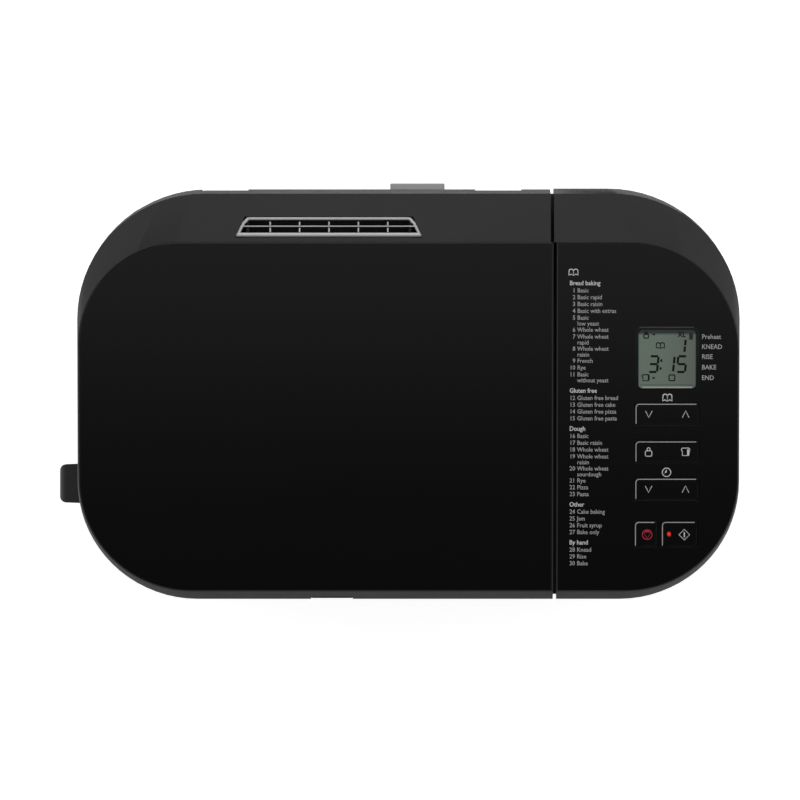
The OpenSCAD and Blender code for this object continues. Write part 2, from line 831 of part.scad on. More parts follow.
module chassis_plate() {
    x0 = drive_x - chassis_half;
    x1 = motor_x + motor_reach;
    color([0.66, 0.67, 0.68]) difference() {
        union() {
            translate([x0, drive_y - chassis_half, chassis_z0])
                cube([x1 - x0, 2 * chassis_half, chassis_t]);
            for (spot = post_spots) translate([spot[0], spot[1], base_z1])
                cylinder(r = post_r, h = chassis_z0 - base_z1);
        }
        translate([drive_x, drive_y, chassis_z0 - 1]) cylinder(r = bush_r + 1, h = 5);
        translate([motor_x, drive_y, chassis_z0 - 1]) cylinder(r = 12, h = 5);
        for (turn = motor_spots) translate([motor_x, drive_y, chassis_z0 - 1])
            rotate([0, 0, turn]) translate([motor_screw_ring, 0, 0])
                cylinder(r = motor_screw_r, h = 5);
        for (spot = post_spots) translate([spot[0], spot[1], base_z1 - 1])
            cylinder(r = base_screw_r, h = 10);
    }
}

module bearing_housing() {
    h = chamber_z - sheet - chassis_z1;
    color([0.6, 0.62, 0.64]) translate([drive_x, drive_y, chassis_z1]) difference() {
        union() {
            cylinder(r = 2 * bush_r, h = h);
            cylinder(r = 2 * bush_r + 12, h = 4);
            translate([0, 0, h - 3]) cylinder(r = 2 * bush_r + 10, h = 3);
            for (turn = [0 : 60 : 300]) rotate([0, 0, turn])
                translate([bush_r, -1.5, 0]) cube([bush_r + 11, 3, h]);
        }
        translate([0, 0, -1]) cylinder(r = bush_r, h = h + 2);
    }
}

module drive_bushes() {
    top = chamber_z - sheet - chassis_z1 - bush_l;
    color([0.72, 0.55, 0.3]) for (z = [0, top]) translate([drive_x, drive_y, chassis_z1 + z])
        difference() {
            cylinder(r = bush_r, h = bush_l);
            translate([0, 0, -1]) cylinder(r = shaft_r + shaft_clear, h = bush_l + 2);
        }
}

module drive_shaft() {
    color([0.78, 0.78, 0.8]) translate([drive_x, drive_y, pulley_z0 - 4])
        cylinder(r = shaft_r, h = dog_z0 + dog_hub - 1 - pulley_z0 + 4);
}

module dog(teeth_z, hub_z) {
    difference() {
        union() {
            translate([0, 0, hub_z]) cylinder(r = dog_r, h = dog_hub);
            for (turn = [0, 180]) rotate([0, 0, turn]) translate([0, 0, teeth_z])
                sector(dog_hole, dog_r - 0.5, dog_angle, dog_tooth + 1);
        }
        translate([0, 0, hub_z - 1]) cylinder(r = shaft_r, h = dog_hub);
    }
}

module drive_coupling() {
    color([0.7, 0.71, 0.73]) translate([drive_x, drive_y, dog_z0]) dog(dog_hub - 1, 0);
}

module large_pulley() {
    rim = 4;
    color([0.2, 0.2, 0.22]) translate([drive_x, drive_y, pulley_z0]) difference() {
        union() {
            difference() {
                cylinder(r = pulley_r, h = pulley_h);
                for (z = [-1, 7]) translate([0, 0, z]) difference() {
                    cylinder(r = pulley_r - rim, h = 6);
                    cylinder(r = 12, h = 6);
                }
            }
            for (turn = [0 : 60 : 300]) rotate([0, 0, turn])
                translate([10, -1.5, 1]) cube([pulley_r - rim - 9, 3, pulley_h - 2]);
        }
        translate([0, 0, -1]) cylinder(r = shaft_r, h = pulley_h + 2);
    }
}

module motor_body() {
    color([0.45, 0.46, 0.48]) translate([motor_x, drive_y, chassis_z1]) difference() {
        union() {
            cylinder(r = motor_r, h = motor_h);
            translate([0, 0, motor_h]) cylinder(r = 14, h = 8);
            for (side = [-1, 1]) translate([side * (motor_r - 4) - 5, -8, motor_h * 0.6])
                cube([10, 16, 16]);
        }
        translate([0, 0, -1]) cylinder(r = shaft_r + shaft_clear, h = motor_h + 5);
        for (turn = motor_spots) rotate([0, 0, turn]) translate([motor_screw_ring, 0, -1])
            cylinder(r = motor_screw_r, h = 9);
    }
}

module motor_screws() {
    color([0.75, 0.75, 0.77]) for (turn = motor_spots)
        translate([motor_x, drive_y, chassis_z0]) rotate([0, 0, turn])
            translate([motor_screw_ring, 0, 0]) {
                translate([0, 0, -2.5]) cylinder(r = 3.5, h = 2.5);
                cylinder(r = motor_screw_r, h = chassis_t + 6);
            }
}

module motor_shaft() {
    color([0.8, 0.8, 0.82]) translate([motor_x, drive_y, pulley_z0 - 2])
        cylinder(r = shaft_r, h = chassis_z1 + motor_h - pulley_z0 + 2);
}

module motor_pulley() {
    color([0.25, 0.25, 0.27]) translate([motor_x, drive_y, pulley_z0]) difference() {
        union() {
            cylinder(r = motor_pulley_r, h = pulley_h);
            for (z = [0, pulley_h - 1]) translate([0, 0, z])
                cylinder(r = motor_pulley_r + 3, h = 1);
        }
        translate([0, 0, -1]) cylinder(r = shaft_r, h = pulley_h + 2);
    }
}

// Points along a loop round both pulleys: an arc on each, joined by straight runs
function belt_points(grow) = let (
    r1 = pulley_r + belt_clear + grow,
    r2 = motor_pulley_r + belt_clear + grow,
    lean = asin((r1 - r2) / belt_span),
    steps = 36
) concat(
    [for (i = [0 : steps]) let (a = 90 - lean + (180 + 2 * lean) * i / steps)
        [r1 * cos(a), r1 * sin(a)]],
    [for (i = [0 : steps]) let (a = lean - 90 + (180 - 2 * lean) * i / steps)
        [belt_span + r2 * cos(a), r2 * sin(a)]]
);

module drive_belt() {
    color([0.05, 0.05, 0.05])
        translate([drive_x, drive_y, pulley_z0 + (pulley_h - belt_h) / 2])
            linear_extrude(belt_h) difference() {
                polygon(belt_points(belt_t));
                polygon(belt_points(0));
            }
}

// ---- Lid ----

module lid_plate_outline(inset) {
    intersection() {
        panel_outline(-inset);
        translate([-big, -big]) square([big + seam_x - seam_clear - lip - inset, 2 * big]);
    }
}

module lid_frame() {
    color([0.14, 0.14, 0.145]) difference() {
        union() {
            difference() {
                intersection() {
                    cap_form(0, 0, lid_z0);
                    lid_side(0);
                }
                intersection() {
                    cap_form(wall, cap_drop, lid_z0 - 1);
                    lid_side(wall);
                }
            }
            // Bosses that the liner is screwed to
            intersection() {
                for (spot = lid_screw_spots) translate([spot[0], spot[1], liner_z1])
                    cylinder(r = lid_screw_r + 3, h = 60);
                on_panel() translate([-big, -big, -200])
                    cube([2 * big, 2 * big, 200 - plate_t - 0.5]);
            }
        }
        for (spot = lid_screw_spots) translate([spot[0], spot[1], liner_z1 - 1])
            cylinder(r = lid_screw_r, h = 6);
        on_panel() translate([0, 0, -plate_t]) linear_extrude(4) lid_plate_outline(0);
        translate([0, 0, vent_z0]) linear_extrude(40) vent_outline(0);
        // Room for the rear wall to swing down past the deck and its hinge ears
        translate([-big, lid_notch_y, 0]) cube([2 * big, big, lid_notch_z]);
        for (x = hinge_spots) translate([x - ear_reach - 1.5, lid_notch_y, 0])
            cube([2 * ear_reach + 3, big, hinge_z + 3]);
        // Finger notch in the front rim
        translate([notch_x, cap_y0 - 5, lid_z0 - 1]) rotate([-90, 0, 0])
            linear_extrude(16) translate([-notch_w / 2, -notch_h]) square([notch_w, notch_h]);
    }
}

module lid_panel() {
    color([0.01, 0.01, 0.01]) on_panel() translate([0, 0, -plate_t])
        linear_extrude(plate_t) lid_plate_outline(0);
}

module lid_liner() {
    arm = 14;
    color([0.2, 0.2, 0.21]) difference() {
        union() {
            translate([0, 0, liner_z0]) linear_extrude(liner_t) intersection() {
                rounded(cap_x0 + liner_in, cap_x1 - liner_in, liner_y0, cap_y1 - liner_in,
                        corner_rear - liner_in, corner_rear - liner_in, corner_front - liner_in);
                union() {
                    translate([-big, -big]) square([big + seam_x - seam_clear - liner_in,
                                                    big + ridge_y - liner_fit]);
                    translate([-big, -big])
                        square([big + seam_x - seam_step - liner_in, big + liner_y1]);
                }
            }
            for (x = hinge_spots) {
                translate([x, hinge_y, hinge_z]) rod_x(knuckle_r, knuckle_l);
                translate([x - knuckle_l / 2, hinge_y - arm, liner_z0])
                    cube([knuckle_l, arm - knuckle_r + 1.5, hinge_z - liner_z0 + 3]);
                translate([x - knuckle_l / 2, hinge_y - knuckle_r, hinge_z - knuckle_r + 1])
                    cube([knuckle_l, knuckle_r, 2 * knuckle_r - 2]);
            }
        }
        for (x = hinge_spots) translate([x, hinge_y, hinge_z])
            rod_x(hinge_pin_r + shaft_clear, knuckle_l + 10);
        duct_opening(liner_z0 - 1, liner_t + 2);
        for (spot = lid_screw_spots) translate([spot[0], spot[1], liner_z0 - 1])
            cylinder(r = lid_screw_r, h = liner_t + 2);
        // Gap behind the finger notch
        translate([notch_x - notch_w / 2, cap_y0, liner_z0 - 1])
            cube([notch_w, 12, liner_t + 2]);
    }
}

// Steam's way up through the lid
module duct_opening(z, h) {
    translate([vent_x0 + vent_taper + duct_t + 1, vent_front_y + duct_t, z])
        cube([vent_l - 2 * vent_taper - 2 * duct_t - 2, duct_y1 - vent_front_y - 2 * duct_t, h]);
}

module steam_duct() {
    color([0.3, 0.3, 0.32]) difference() {
        translate([vent_x0 + vent_taper + 1, vent_front_y, liner_z1])
            cube([vent_l - 2 * vent_taper - 2, duct_y1 - vent_front_y, vent_z0 - liner_z1]);
        duct_opening(liner_z1 - 1, big);
    }
}

module lid_inner_plate() {
    color([0.78, 0.79, 0.8]) difference() {
        translate([0, 0, inner_z0]) linear_extrude(liner_z0 - inner_z0)
            chamber_outline(-inner_gap);
        translate([0, 0, inner_z0 + inner_t]) linear_extrude(20)
            chamber_outline(-inner_gap - inner_t);
        for (i = [-5 : 5]) translate([drive_x + 9 * i, chamber_y1 - inner_gap - 16, inner_z0 - 1])
            cylinder(r = 2.5, h = 4);
    }
}

module lid_gasket() {
    color([0.55, 0.2, 0.12]) translate([0, 0, lid_z0]) linear_extrude(liner_z0 - lid_z0)
        difference() {
            chamber_outline(4);
            chamber_outline(-inner_gap);
        }
}

module lid_screws() {
    color([0.75, 0.75, 0.77]) for (spot = lid_screw_spots)
        translate([spot[0], spot[1], liner_z0 - 1.2]) {
            cylinder(r = 2.8, h = 1.2);
            cylinder(r = lid_screw_r, h = liner_t + 1.2 + 4.5);
        }
}

module vent_grille() {
    rear_slot = vent_rear_y - 1.7;
    color([0.22, 0.22, 0.23]) difference() {
        intersection() {
            translate([0, 0, vent_z0]) linear_extrude(40) vent_outline(-0.2);
            on_band() translate([-big, -20, -40]) cube([2 * big, 80, 40 - 0.4]);
        }
        for (i = [0 : vent_fins]) {
            pitch_x = vent_x0 + 21 + vent_pitch * (i - 1);
            left = max(pitch_x + 0.6, vent_x0 + vent_taper + 2);
            right = min(pitch_x + vent_pitch - 0.6, vent_x0 + vent_l - vent_taper - 2);
            for (y = [[vent_front_y + 3.4, vent_mid_y - vent_mid / 2],
                      [vent_mid_y + vent_mid / 2, rear_slot]])
                translate([left, y[0], vent_z0 - 1]) cube([right - left, y[1] - y[0], 60]);
        }
    }
}

// ---- Bread pan ----

module bread_pan() {
    color([0.28, 0.28, 0.29]) translate([drive_x, drive_y, 0]) difference() {
        union() {
            translate([0, 0, pan_z0]) linear_extrude(pan_z1 - pan_z0)
                centred(pan_w, pan_d, pan_r);
            translate([0, 0, pan_z1 - 2]) linear_extrude(2)
                centred(pan_w + 2 * pan_lip, pan_d + 2 * pan_lip, pan_r + pan_lip);
            for (side = [-1, 1])
                translate([side * (pan_w / 2 + 1) - 1, -10, pan_z1 - 12])
                    cube([2, 20, 12 + handle_z - pan_z1]);
            for (side = [-1, 1]) translate([side * (pan_w / 2 + 1), 0, handle_z])
                rod_x(10, 2);
        }
        translate([0, 0, pan_z0 + pan_t]) linear_extrude(pan_z1 - pan_z0)
            centred(pan_w - 2 * pan_t, pan_d - 2 * pan_t, pan_r - pan_t);
        translate([0, 0, pan_z0 - 1]) cylinder(r = bush_r + 1, h = 4);
        for (side = [-1, 1]) translate([side * pan_w / 2, 0, handle_z]) rod_x(2.5, 10);
    }
}

module pan_foot() {
    color([0.55, 0.56, 0.57]) translate([drive_x, drive_y, 0]) {
        difference() {
            union() {
                translate([0, 0, chamber_z + 0.2])
                    cylinder(r = foot_r, h = pan_z0 - chamber_z - 0.2);
                for (turn = [0 : 90 : 270]) rotate([0, 0, turn])
                    translate([0, 0, chamber_z + 3])
                        sector(foot_r - 1, foot_r + lug_out, lug_angle, 4.2);
            }
            translate([0, 0, chamber_z - 1]) cylinder(r = foot_r - 2, h = 40);
        }
    }
}

module pan_bush() {
    color([0.72, 0.55, 0.3]) translate([drive_x, drive_y, 0]) difference() {
        union() {
            translate([0, 0, pan_z0 - 1.5]) cylinder(r = bush_r + 1, h = 13);
            translate([0, 0, pan_z0 - 1.5]) cylinder(r = bush_r + 6, h = 1.5);
        }
        translate([0, 0, pan_z0 - 3]) cylinder(r = shaft_r + shaft_clear, h = 20);
    }
}

module pan_rivets() {
    l = handle_x - pan_w / 2 + 5;
    color([0.75, 0.75, 0.77]) for (side = [-1, 1])
        translate([drive_x + side * pan_w / 2, drive_y, handle_z]) {
            translate([side * l / 2, 0, 0]) rod_x(2.5, l);
            translate([side * (l + 0.6), 0, 0]) rod_x(4, 1.2);
        }
}

module pan_handle() {
    bend = 14;
    eye = 5;
    arm = handle_reach - bend - eye + 1;
    color([0.75, 0.76, 0.78]) translate([drive_x, drive_y, handle_z]) {
        for (side = [-1, 1]) {
            translate([side * handle_x, 0, 0]) difference() {
                rod_x(eye, 3.4);
                rod_x(2.5 + shaft_clear, 10);
            }
            translate([side * handle_x, -eye + 1 - arm, 0]) rotate([-90, 0, 0])
                cylinder(r = handle_wire, h = arm);
        }
        translate([handle_x - bend, bend - handle_reach, 0]) rotate([0, 0, 270])
            rotate_extrude(angle = 90) translate([bend, 0]) circle(r = handle_wire);
        translate([bend - handle_x, bend - handle_reach, 0]) rotate([0, 0, 180])
            rotate_extrude(angle = 90) translate([bend, 0]) circle(r = handle_wire);
        translate([0, -handle_reach, 0]) rod_x(handle_wire, 2 * (handle_x - bend));
    }
}

module pan_shaft() {
    color([0.78, 0.78, 0.8]) translate([drive_x, drive_y, upper_dog_z])
        cylinder(r = shaft_r, h = pan_z0 + 34 - upper_dog_z);
}

module pan_coupling() {
    teeth_z = upper_dog_z - dog_tooth;
    hub = 3.6;
    color([0.7, 0.71, 0.73]) translate([drive_x, drive_y, 0]) rotate([0, 0, 90]) difference() {
        union() {
            translate([0, 0, upper_dog_z]) cylinder(r = dog_r, h = hub);
            for (turn = [0, 180]) rotate([0, 0, turn]) translate([0, 0, teeth_z])
                sector(dog_hole, dog_r - 0.5, dog_angle, dog_tooth + 1);
        }
        translate([0, 0, upper_dog_z - 1]) cylinder(r = shaft_r, h = hub + 2);
    }
}

module kneading_blade() {
    hub_z = pan_z0 + 12.5;
    hub_h = 21;
    reach = min(pan_w, pan_d) / 2 - pan_t - 16;
    color([0.3, 0.3, 0.31]) translate([drive_x, drive_y, hub_z]) difference() {
        union() {
            cylinder(r = 8, h = hub_h);
            translate([0, -1.5, 0]) cube([reach - 9, 3, 20]);
            translate([reach - 9, 1.5, 9]) rotate([90, 0, 0]) cylinder(r = 9, h = 3);
            translate([reach - 18, -1.5, 0]) cube([18, 3, 9]);
        }
        translate([0, 0, -1]) cylinder(r = shaft_r, h = hub_h + 2);
    }
}

base_tray();
rubber_feet();
base_screws();
outer_shell();
deck_frame();
cord_guard();
rear_spacer();
console_cover();
console_panel();
lcd_window();
lcd_module();
control_board();
key_switches();
key_cradles();
start_lamp();
power_board();
oven_chamber();
heat_shield();
heater_element();
heater_clips();
pan_seat();
temperature_sensor();
thermal_fuse();
chassis_plate();
bearing_housing();
drive_bushes();
motor_body();
motor_screws();
drive_belt();
hinge_pins();
lid_frame();
lid_panel();
lid_liner();
lid_inner_plate();
lid_gasket();
vent_grille();
steam_duct();
lid_screws();
drive_shaft();
drive_coupling();
large_pulley();
motor_shaft();
motor_pulley();
bread_pan();
pan_foot();
pan_bush();
pan_rivets();
pan_handle();
pan_shaft();
pan_coupling();
kneading_blade();
program_key();
size_crust_key();
timer_key();
stop_key();
start_key();
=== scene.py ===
import json
import math

import bpy
from mathutils import Matrix, Vector


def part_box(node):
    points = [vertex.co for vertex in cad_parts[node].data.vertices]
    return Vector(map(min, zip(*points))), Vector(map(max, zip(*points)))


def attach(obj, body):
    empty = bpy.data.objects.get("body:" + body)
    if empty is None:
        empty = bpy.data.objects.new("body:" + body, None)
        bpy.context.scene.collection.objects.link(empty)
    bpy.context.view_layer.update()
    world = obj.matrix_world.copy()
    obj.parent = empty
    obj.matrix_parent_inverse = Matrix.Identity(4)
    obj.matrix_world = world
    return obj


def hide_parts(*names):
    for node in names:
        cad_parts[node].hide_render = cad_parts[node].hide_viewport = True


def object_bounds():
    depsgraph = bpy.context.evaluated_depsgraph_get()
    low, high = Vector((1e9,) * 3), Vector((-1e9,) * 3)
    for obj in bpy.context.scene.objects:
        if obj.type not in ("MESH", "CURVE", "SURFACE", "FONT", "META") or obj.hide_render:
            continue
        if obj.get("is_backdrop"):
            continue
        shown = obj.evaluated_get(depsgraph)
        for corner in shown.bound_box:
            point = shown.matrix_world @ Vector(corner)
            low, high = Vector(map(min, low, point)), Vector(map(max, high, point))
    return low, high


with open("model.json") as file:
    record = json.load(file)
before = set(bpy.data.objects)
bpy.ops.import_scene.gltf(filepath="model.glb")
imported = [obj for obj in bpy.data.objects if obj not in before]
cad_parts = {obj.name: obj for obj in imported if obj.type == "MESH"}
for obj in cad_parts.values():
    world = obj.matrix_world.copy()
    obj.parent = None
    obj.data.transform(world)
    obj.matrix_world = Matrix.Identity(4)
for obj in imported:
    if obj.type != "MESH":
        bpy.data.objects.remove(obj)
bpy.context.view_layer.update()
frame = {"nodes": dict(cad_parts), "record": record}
nodes = frame["nodes"]
bodyOf = {node: body for body, names in frame["record"]["behaviour"]["bodies"].items() for node in names}
slotOf = {part["node"]: part["material_slot"] for part in frame["record"]["subparts"]}
mm = 0.001
print("frame loaded:", len(nodes), "nodes")


camera = {"above": 8.0, "wide": 0.480, "sensor": 36.0, "centre": (0.00345, -0.0058), "level": 0.340}
studio = {
    "floor": 14.0,
    "floorColour": (0.93, 0.93, 0.93, 1),
    "floorGlow": 0.82,
    # axis of the direction, where its fade starts and ends, and the light at both ends
    "skyFades": [("Z", 0.55, 0.9, 0.42, 0.042), ("Y", -0.95, -0.45, 0.1, 1.0)],
    "lamps": [
        # name, place, what it faces, size, power
        ("rearSoftbox", (0.35, 1.9, 1.3), (0, 0, 0.2), 1.2, 9),
        ("rearHighSoftbox", (0, 1.25, 2.1), (0, 0, 0.3), 1.0, 8),
        ("leftSoftbox", (-1.9, 0.2, 1.1), (0, 0, 0.2), 1.2, 4.5),
        ("rightSoftbox", (1.9, 0.2, 1.1), (0, 0, 0.2), 1.2, 4.5),
        ("frontSoftbox", (0.5, -2.1, 1.0), (0, 0, 0.2), 1.2, 0.5),
    ],
    # overhead strips, brightest at the rear, that fade the glossy top's reflection: centre y, depth, glow
    "strips": [(0.165, 0.88, 0.265), (-0.29, 0.03, 0.23), (-0.32, 0.03, 0.15), (-0.35, 0.03, 0.09),
               (-0.38, 0.03, 0.05), (-0.41, 0.03, 0.02)],
    "stripHigh": 1.6,
    "stripWide": 1.8,
}


def makeCamera():
    lens = bpy.data.cameras.new("camera")
    lens.sensor_width = camera["sensor"]
    lens.lens = camera["sensor"] * camera["above"] / camera["wide"]
    lens.clip_end = 50
    eye = bpy.data.objects.new("camera", lens)
    eye.location = (camera["centre"][0], camera["centre"][1], camera["level"] + camera["above"])
    bpy.context.collection.objects.link(eye)
    bpy.context.scene.camera = eye


def hangLamp(name, place, facing, width, depth, power):
    lamp = bpy.data.lights.new(name, "AREA")
    lamp.shape = "RECTANGLE"
    lamp.size = width
    lamp.size_y = depth
    lamp.energy = power
    stand = bpy.data.objects.new(name, lamp)
    stand.location = place
    aim = Vector(facing) - Vector(place)
    stand.rotation_euler = aim.to_track_quat("-Z", "Y").to_euler()
    stand.visible_camera = False
    bpy.context.collection.objects.link(stand)


def makeStudio():
    for name, place, facing, size, power in studio["lamps"]:
        hangLamp(name, place, facing, size, size, power)
    for y, depth, glow in studio["strips"]:
        power = glow * math.pi * depth * studio["stripWide"]
        hangLamp("topStrip", (0, y, studio["stripHigh"]), (0, y, 0), studio["stripWide"], depth, power)
    # pale round the horizon and dimmer from the front, dark overhead so that the top stays black
    sky = bpy.data.worlds.new("sky")
    sky.use_nodes = True
    tree = sky.node_tree
    direction = tree.nodes.new("ShaderNodeSeparateXYZ")
    tree.links.new(tree.nodes.new("ShaderNodeTexCoord").outputs["Generated"], direction.inputs[0])
    glow = tree.nodes.new("ShaderNodeMath")
    glow.operation = "MULTIPLY"
    for i, (axis, start, end, first, last) in enumerate(studio["skyFades"]):
        fade = tree.nodes.new("ShaderNodeMapRange")
        for name, value in (("From Min", start), ("From Max", end), ("To Min", first), ("To Max", last)):
            fade.inputs[name].default_value = value
        tree.links.new(direction.outputs[axis], fade.inputs["Value"])
        tree.links.new(fade.outputs["Result"], glow.inputs[i])
    tree.nodes["Background"].inputs["Color"].default_value = (1, 1, 1, 1)
    tree.links.new(glow.outputs["Value"], tree.nodes["Background"].inputs["Strength"])
    bpy.context.scene.world = sky
    bpy.context.scene.view_settings.view_transform = "Standard"


class Wire:
    # one output socket, with arithmetic that adds Math nodes

    def __init__(self, maker, socket):
        self.maker = maker
        self.socket = socket

    def maths(self, operation, first, second):
        return self.maker.add("Math", {"operation": operation}, {0: first, 1: second})

    def __add__(self, other):
        return self.maths("ADD", self, other)

    def __radd__(self, other):
        return self.maths("ADD", other, self)

    def __sub__(self, other):
        return self.maths("SUBTRACT", self, other)

    def __rsub__(self, other):
        return self.maths("SUBTRACT", other, self)

    def __mul__(self, other):
        return self.maths("MULTIPLY", self, other)

    def __rmul__(self, other):
        return self.maths("MULTIPLY", other, self)

    def __pow__(self, other):
        return self.maths("POWER", self, other)

    def __gt__(self, other):
        return self.maths("GREATER_THAN", self, other)


class Finish:
    # one material, built from its Principled shader outwards

    def __init__(self, name):
        self.material = bpy.data.materials.new(name)
        self.material.use_nodes = True
        self.tree = self.material.node_tree
        self.shader = self.tree.nodes["Principled BSDF"]
        self.place = self.add("TexCoord", {}, {}, "Object")

    def add(self, kind, settings, values, output=0):
        node = self.tree.nodes.new("ShaderNode" + kind)
        for name, value in settings.items():
            setattr(node, name, value)
        for name, value in values.items():
            self.join(node.inputs[name], value)
        return Wire(self, node.outputs[output])

    def join(self, socket, value):
        if isinstance(value, Wire):
            self.tree.links.new(value.socket, socket)
        else:
            socket.default_value = value

    def surface(self, **values):
        for name, value in values.items():
            spaced = "".join(" " + c if c.isupper() else c for c in name)
            title = spaced.title().replace("Ior", "IOR").strip()
            self.join(self.shader.inputs[title], value)

    def noise(self, scale, detail=2):
        return self.add("TexNoise", {}, {"Vector": self.place, "Scale": scale, "Detail": detail}, "Fac")

    def drawn(self, stretch, detail=3):
        # noise pulled out into lines: one scale for each axis
        squeezed = self.add("Mapping", {}, {"Vector": self.place, "Scale": stretch})
        return self.add("TexNoise", {}, {"Vector": squeezed, "Scale": 1, "Detail": detail}, "Fac")

    def bump(self, height, strength, distance):
        return self.add("Bump", {}, {"Height": height, "Strength": strength, "Distance": distance})

    def mix(self, factor, first, second):
        return self.add("Mix", {"data_type": "RGBA"}, {0: factor, 6: first, 7: second}, 2)

    def worn(self, colour, paler, scale, amount):
        return self.mix(self.noise(scale, 4) * amount, colour, paler)


def grey(value, tint=(1, 1, 1)):
    return (value * tint[0], value * tint[1], value * tint[2], 1)


def pianoBlack():
    # polished black top: near-mirror, with the faint unevenness of a moulded plate
    f = Finish("pianoBlack")
    haze = f.noise(9, 2)
    f.surface(baseColor=grey(0.0035), roughness=haze * 0.05 + 0.11, ior=1.49,
              normal=f.bump(f.noise(14, 1), 0.02, 0.001))
    return f.material


def sparkTexture(name, value, roughness, depth, shine=0.4):
    # spark-eroded plastic: fine closed pits, slight tone change over the wall
    f = Finish(name)
    pits = f.noise(2600, 3) * 0.6 + f.noise(900, 2) * 0.4
    tone = f.mix(f.noise(14, 3), grey(value * 0.92), grey(value * 1.1))
    f.surface(baseColor=tone, roughness=f.noise(60, 3) * 0.12 + roughness, specularIorLevel=shine,
              normal=f.bump(pits, depth, 0.0004))
    return f.material


def softPlastic(name, value, roughness=0.38, tint=(1, 1, 1)):
    # plain moulded plastic with a light flow pattern
    f = Finish(name)
    flow = f.noise(35, 3)
    f.surface(baseColor=f.mix(flow, grey(value * 0.94, tint), grey(value * 1.06, tint)),
              roughness=flow * 0.1 + roughness, normal=f.bump(f.noise(700, 2), 0.06, 0.0003))
    return f.material


def brushedSheet(name, value, stretch, roughness=0.3, tint=(1, 1, 1.01)):
    # rolled or drawn sheet metal, with fine lines along the draw
    f = Finish(name)
    grain = f.drawn(stretch)
    f.surface(baseColor=f.mix(grain, grey(value * 0.85, tint), grey(value, tint)), metallic=1.0,
              roughness=grain * 0.22 + roughness, normal=f.bump(grain, 0.08, 0.0003))
    return f.material


def castAlloy(name, value, roughness=0.5):
    # sand-blasted cast aluminium
    f = Finish(name)
    grain = f.noise(1400, 3)
    f.surface(baseColor=f.mix(f.noise(60, 3), grey(value * 0.8), grey(value)), metallic=1.0,
              roughness=grain * 0.2 + roughness, normal=f.bump(grain, 0.2, 0.0004))
    return f.material


def brightMetal(name, value, roughness=0.18, tint=(1, 1, 1.02)):
    # plated or drawn wire
    f = Finish(name)
    marks = f.noise(300, 4)
    f.surface(baseColor=f.mix(marks, grey(value * 0.86, tint), grey(value, tint)), metallic=1.0,
              roughness=marks * 0.16 + roughness)
    return f.material


def nonStick():
    # dark coating with pale and grey specks
    f = Finish("nonStick")
    specks = f.add("TexVoronoi", {}, {"Vector": f.place, "Scale": 520}, "Distance")
    dots = (0.16 - specks) * 9.0
    clipped = f.add("Clamp", {}, {"Value": dots})
    some = clipped * (f.noise(700, 1) > 0.52)
    f.surface(baseColor=f.mix(some, grey(0.035), grey(0.3)), roughness=f.noise(90, 3) * 0.12 + 0.32,
              normal=f.bump(f.noise(900, 2), 0.15, 0.0003), coatWeight=0.15)
    return f.material


def rubberBlack(name="rubberBlack", value=0.028, roughness=0.72):
    # rubber, dusty in patches
    f = Finish(name)
    dust = f.noise(120, 4)
    f.surface(baseColor=f.mix(dust ** 3, grey(value), grey(value * 2.2)), roughness=dust * 0.12 + roughness,
              normal=f.bump(f.noise(1600, 3), 0.15, 0.0003))
    return f.material


def siliconeGrey():
    # soft pale gasket, a little translucent
    f = Finish("siliconeGrey")
    f.surface(baseColor=f.worn(grey(0.3, (1, 0.97, 0.94)), grey(0.42), 50, 0.6),
              roughness=f.noise(200, 3) * 0.1 + 0.55, subsurfaceWeight=0.05)
    return f.material


def heaterSheath():
    # oxidised steel tube, bluish and brown from heat
    f = Finish("heaterSheath")
    heat = f.noise(24, 4)
    f.surface(baseColor=f.mix(heat, (0.10, 0.085, 0.075, 1), (0.14, 0.15, 0.17, 1)), metallic=0.85,
              roughness=f.noise(400, 3) * 0.25 + 0.45, normal=f.bump(f.noise(900, 3), 0.2, 0.0003))
    return f.material


def circuitGreen():
    # solder mask with paler copper tracks under it
    f = Finish("circuitGreen")
    tracks = f.add("TexBrick", {}, {"Vector": f.place, "Scale": 90.0, "Mortar Size": 0.02,
                                    "Color1": (0, 0, 0, 1), "Color2": (0, 0, 0, 1), "Mortar": (1, 1, 1, 1)})
    f.surface(baseColor=f.mix(tracks, (0.012, 0.09, 0.04, 1), (0.04, 0.2, 0.09, 1)),
              roughness=f.noise(150, 2) * 0.1 + 0.3)
    return f.material


def bronzeBush():
    # sintered bronze, full of pores
    f = Finish("bronzeBush")
    pores = f.noise(1800, 3)
    f.surface(baseColor=f.mix(pores, (0.42, 0.27, 0.12, 1), (0.6, 0.42, 0.2, 1)), metallic=1.0,
              roughness=pores * 0.2 + 0.38, normal=f.bump(pores, 0.2, 0.0002))
    return f.material


def displayFace():
    # reflective display under a clear cover: grey-green, darker towards the right, with a painted shadow,
    # dark and bluish, along its top edge under the rim
    f = Finish("displayFace")
    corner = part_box("lcd_window")[1]
    across = f.add("SeparateXYZ", {}, {"Vector": f.place}, "X")
    rise = f.add("SeparateXYZ", {}, {"Vector": f.place}, "Y")
    topShade = f.add("MapRange", {"interpolation_type": "SMOOTHSTEP"},
                     {"Value": rise, "From Min": corner.y - 4.2 * mm, "From Max": corner.y - 2.2 * mm})
    rightShade = f.add("MapRange", {},
                       {"Value": across, "From Min": corner.x - 22 * mm, "From Max": corner.x})
    cell = f.mix(f.noise(60, 2), (0.2, 0.262, 0.213, 1), (0.22, 0.282, 0.233, 1))
    darkerRight = f.mix(rightShade, cell, (0.175, 0.198, 0.175, 1))
    f.surface(baseColor=f.mix(topShade, darkerRight, (0.034, 0.046, 0.052, 1)),
              roughness=f.noise(300, 2) * 0.06 + 0.12, coatWeight=f.noise(80, 1) * 0.1 + 0.5)
    return f.material


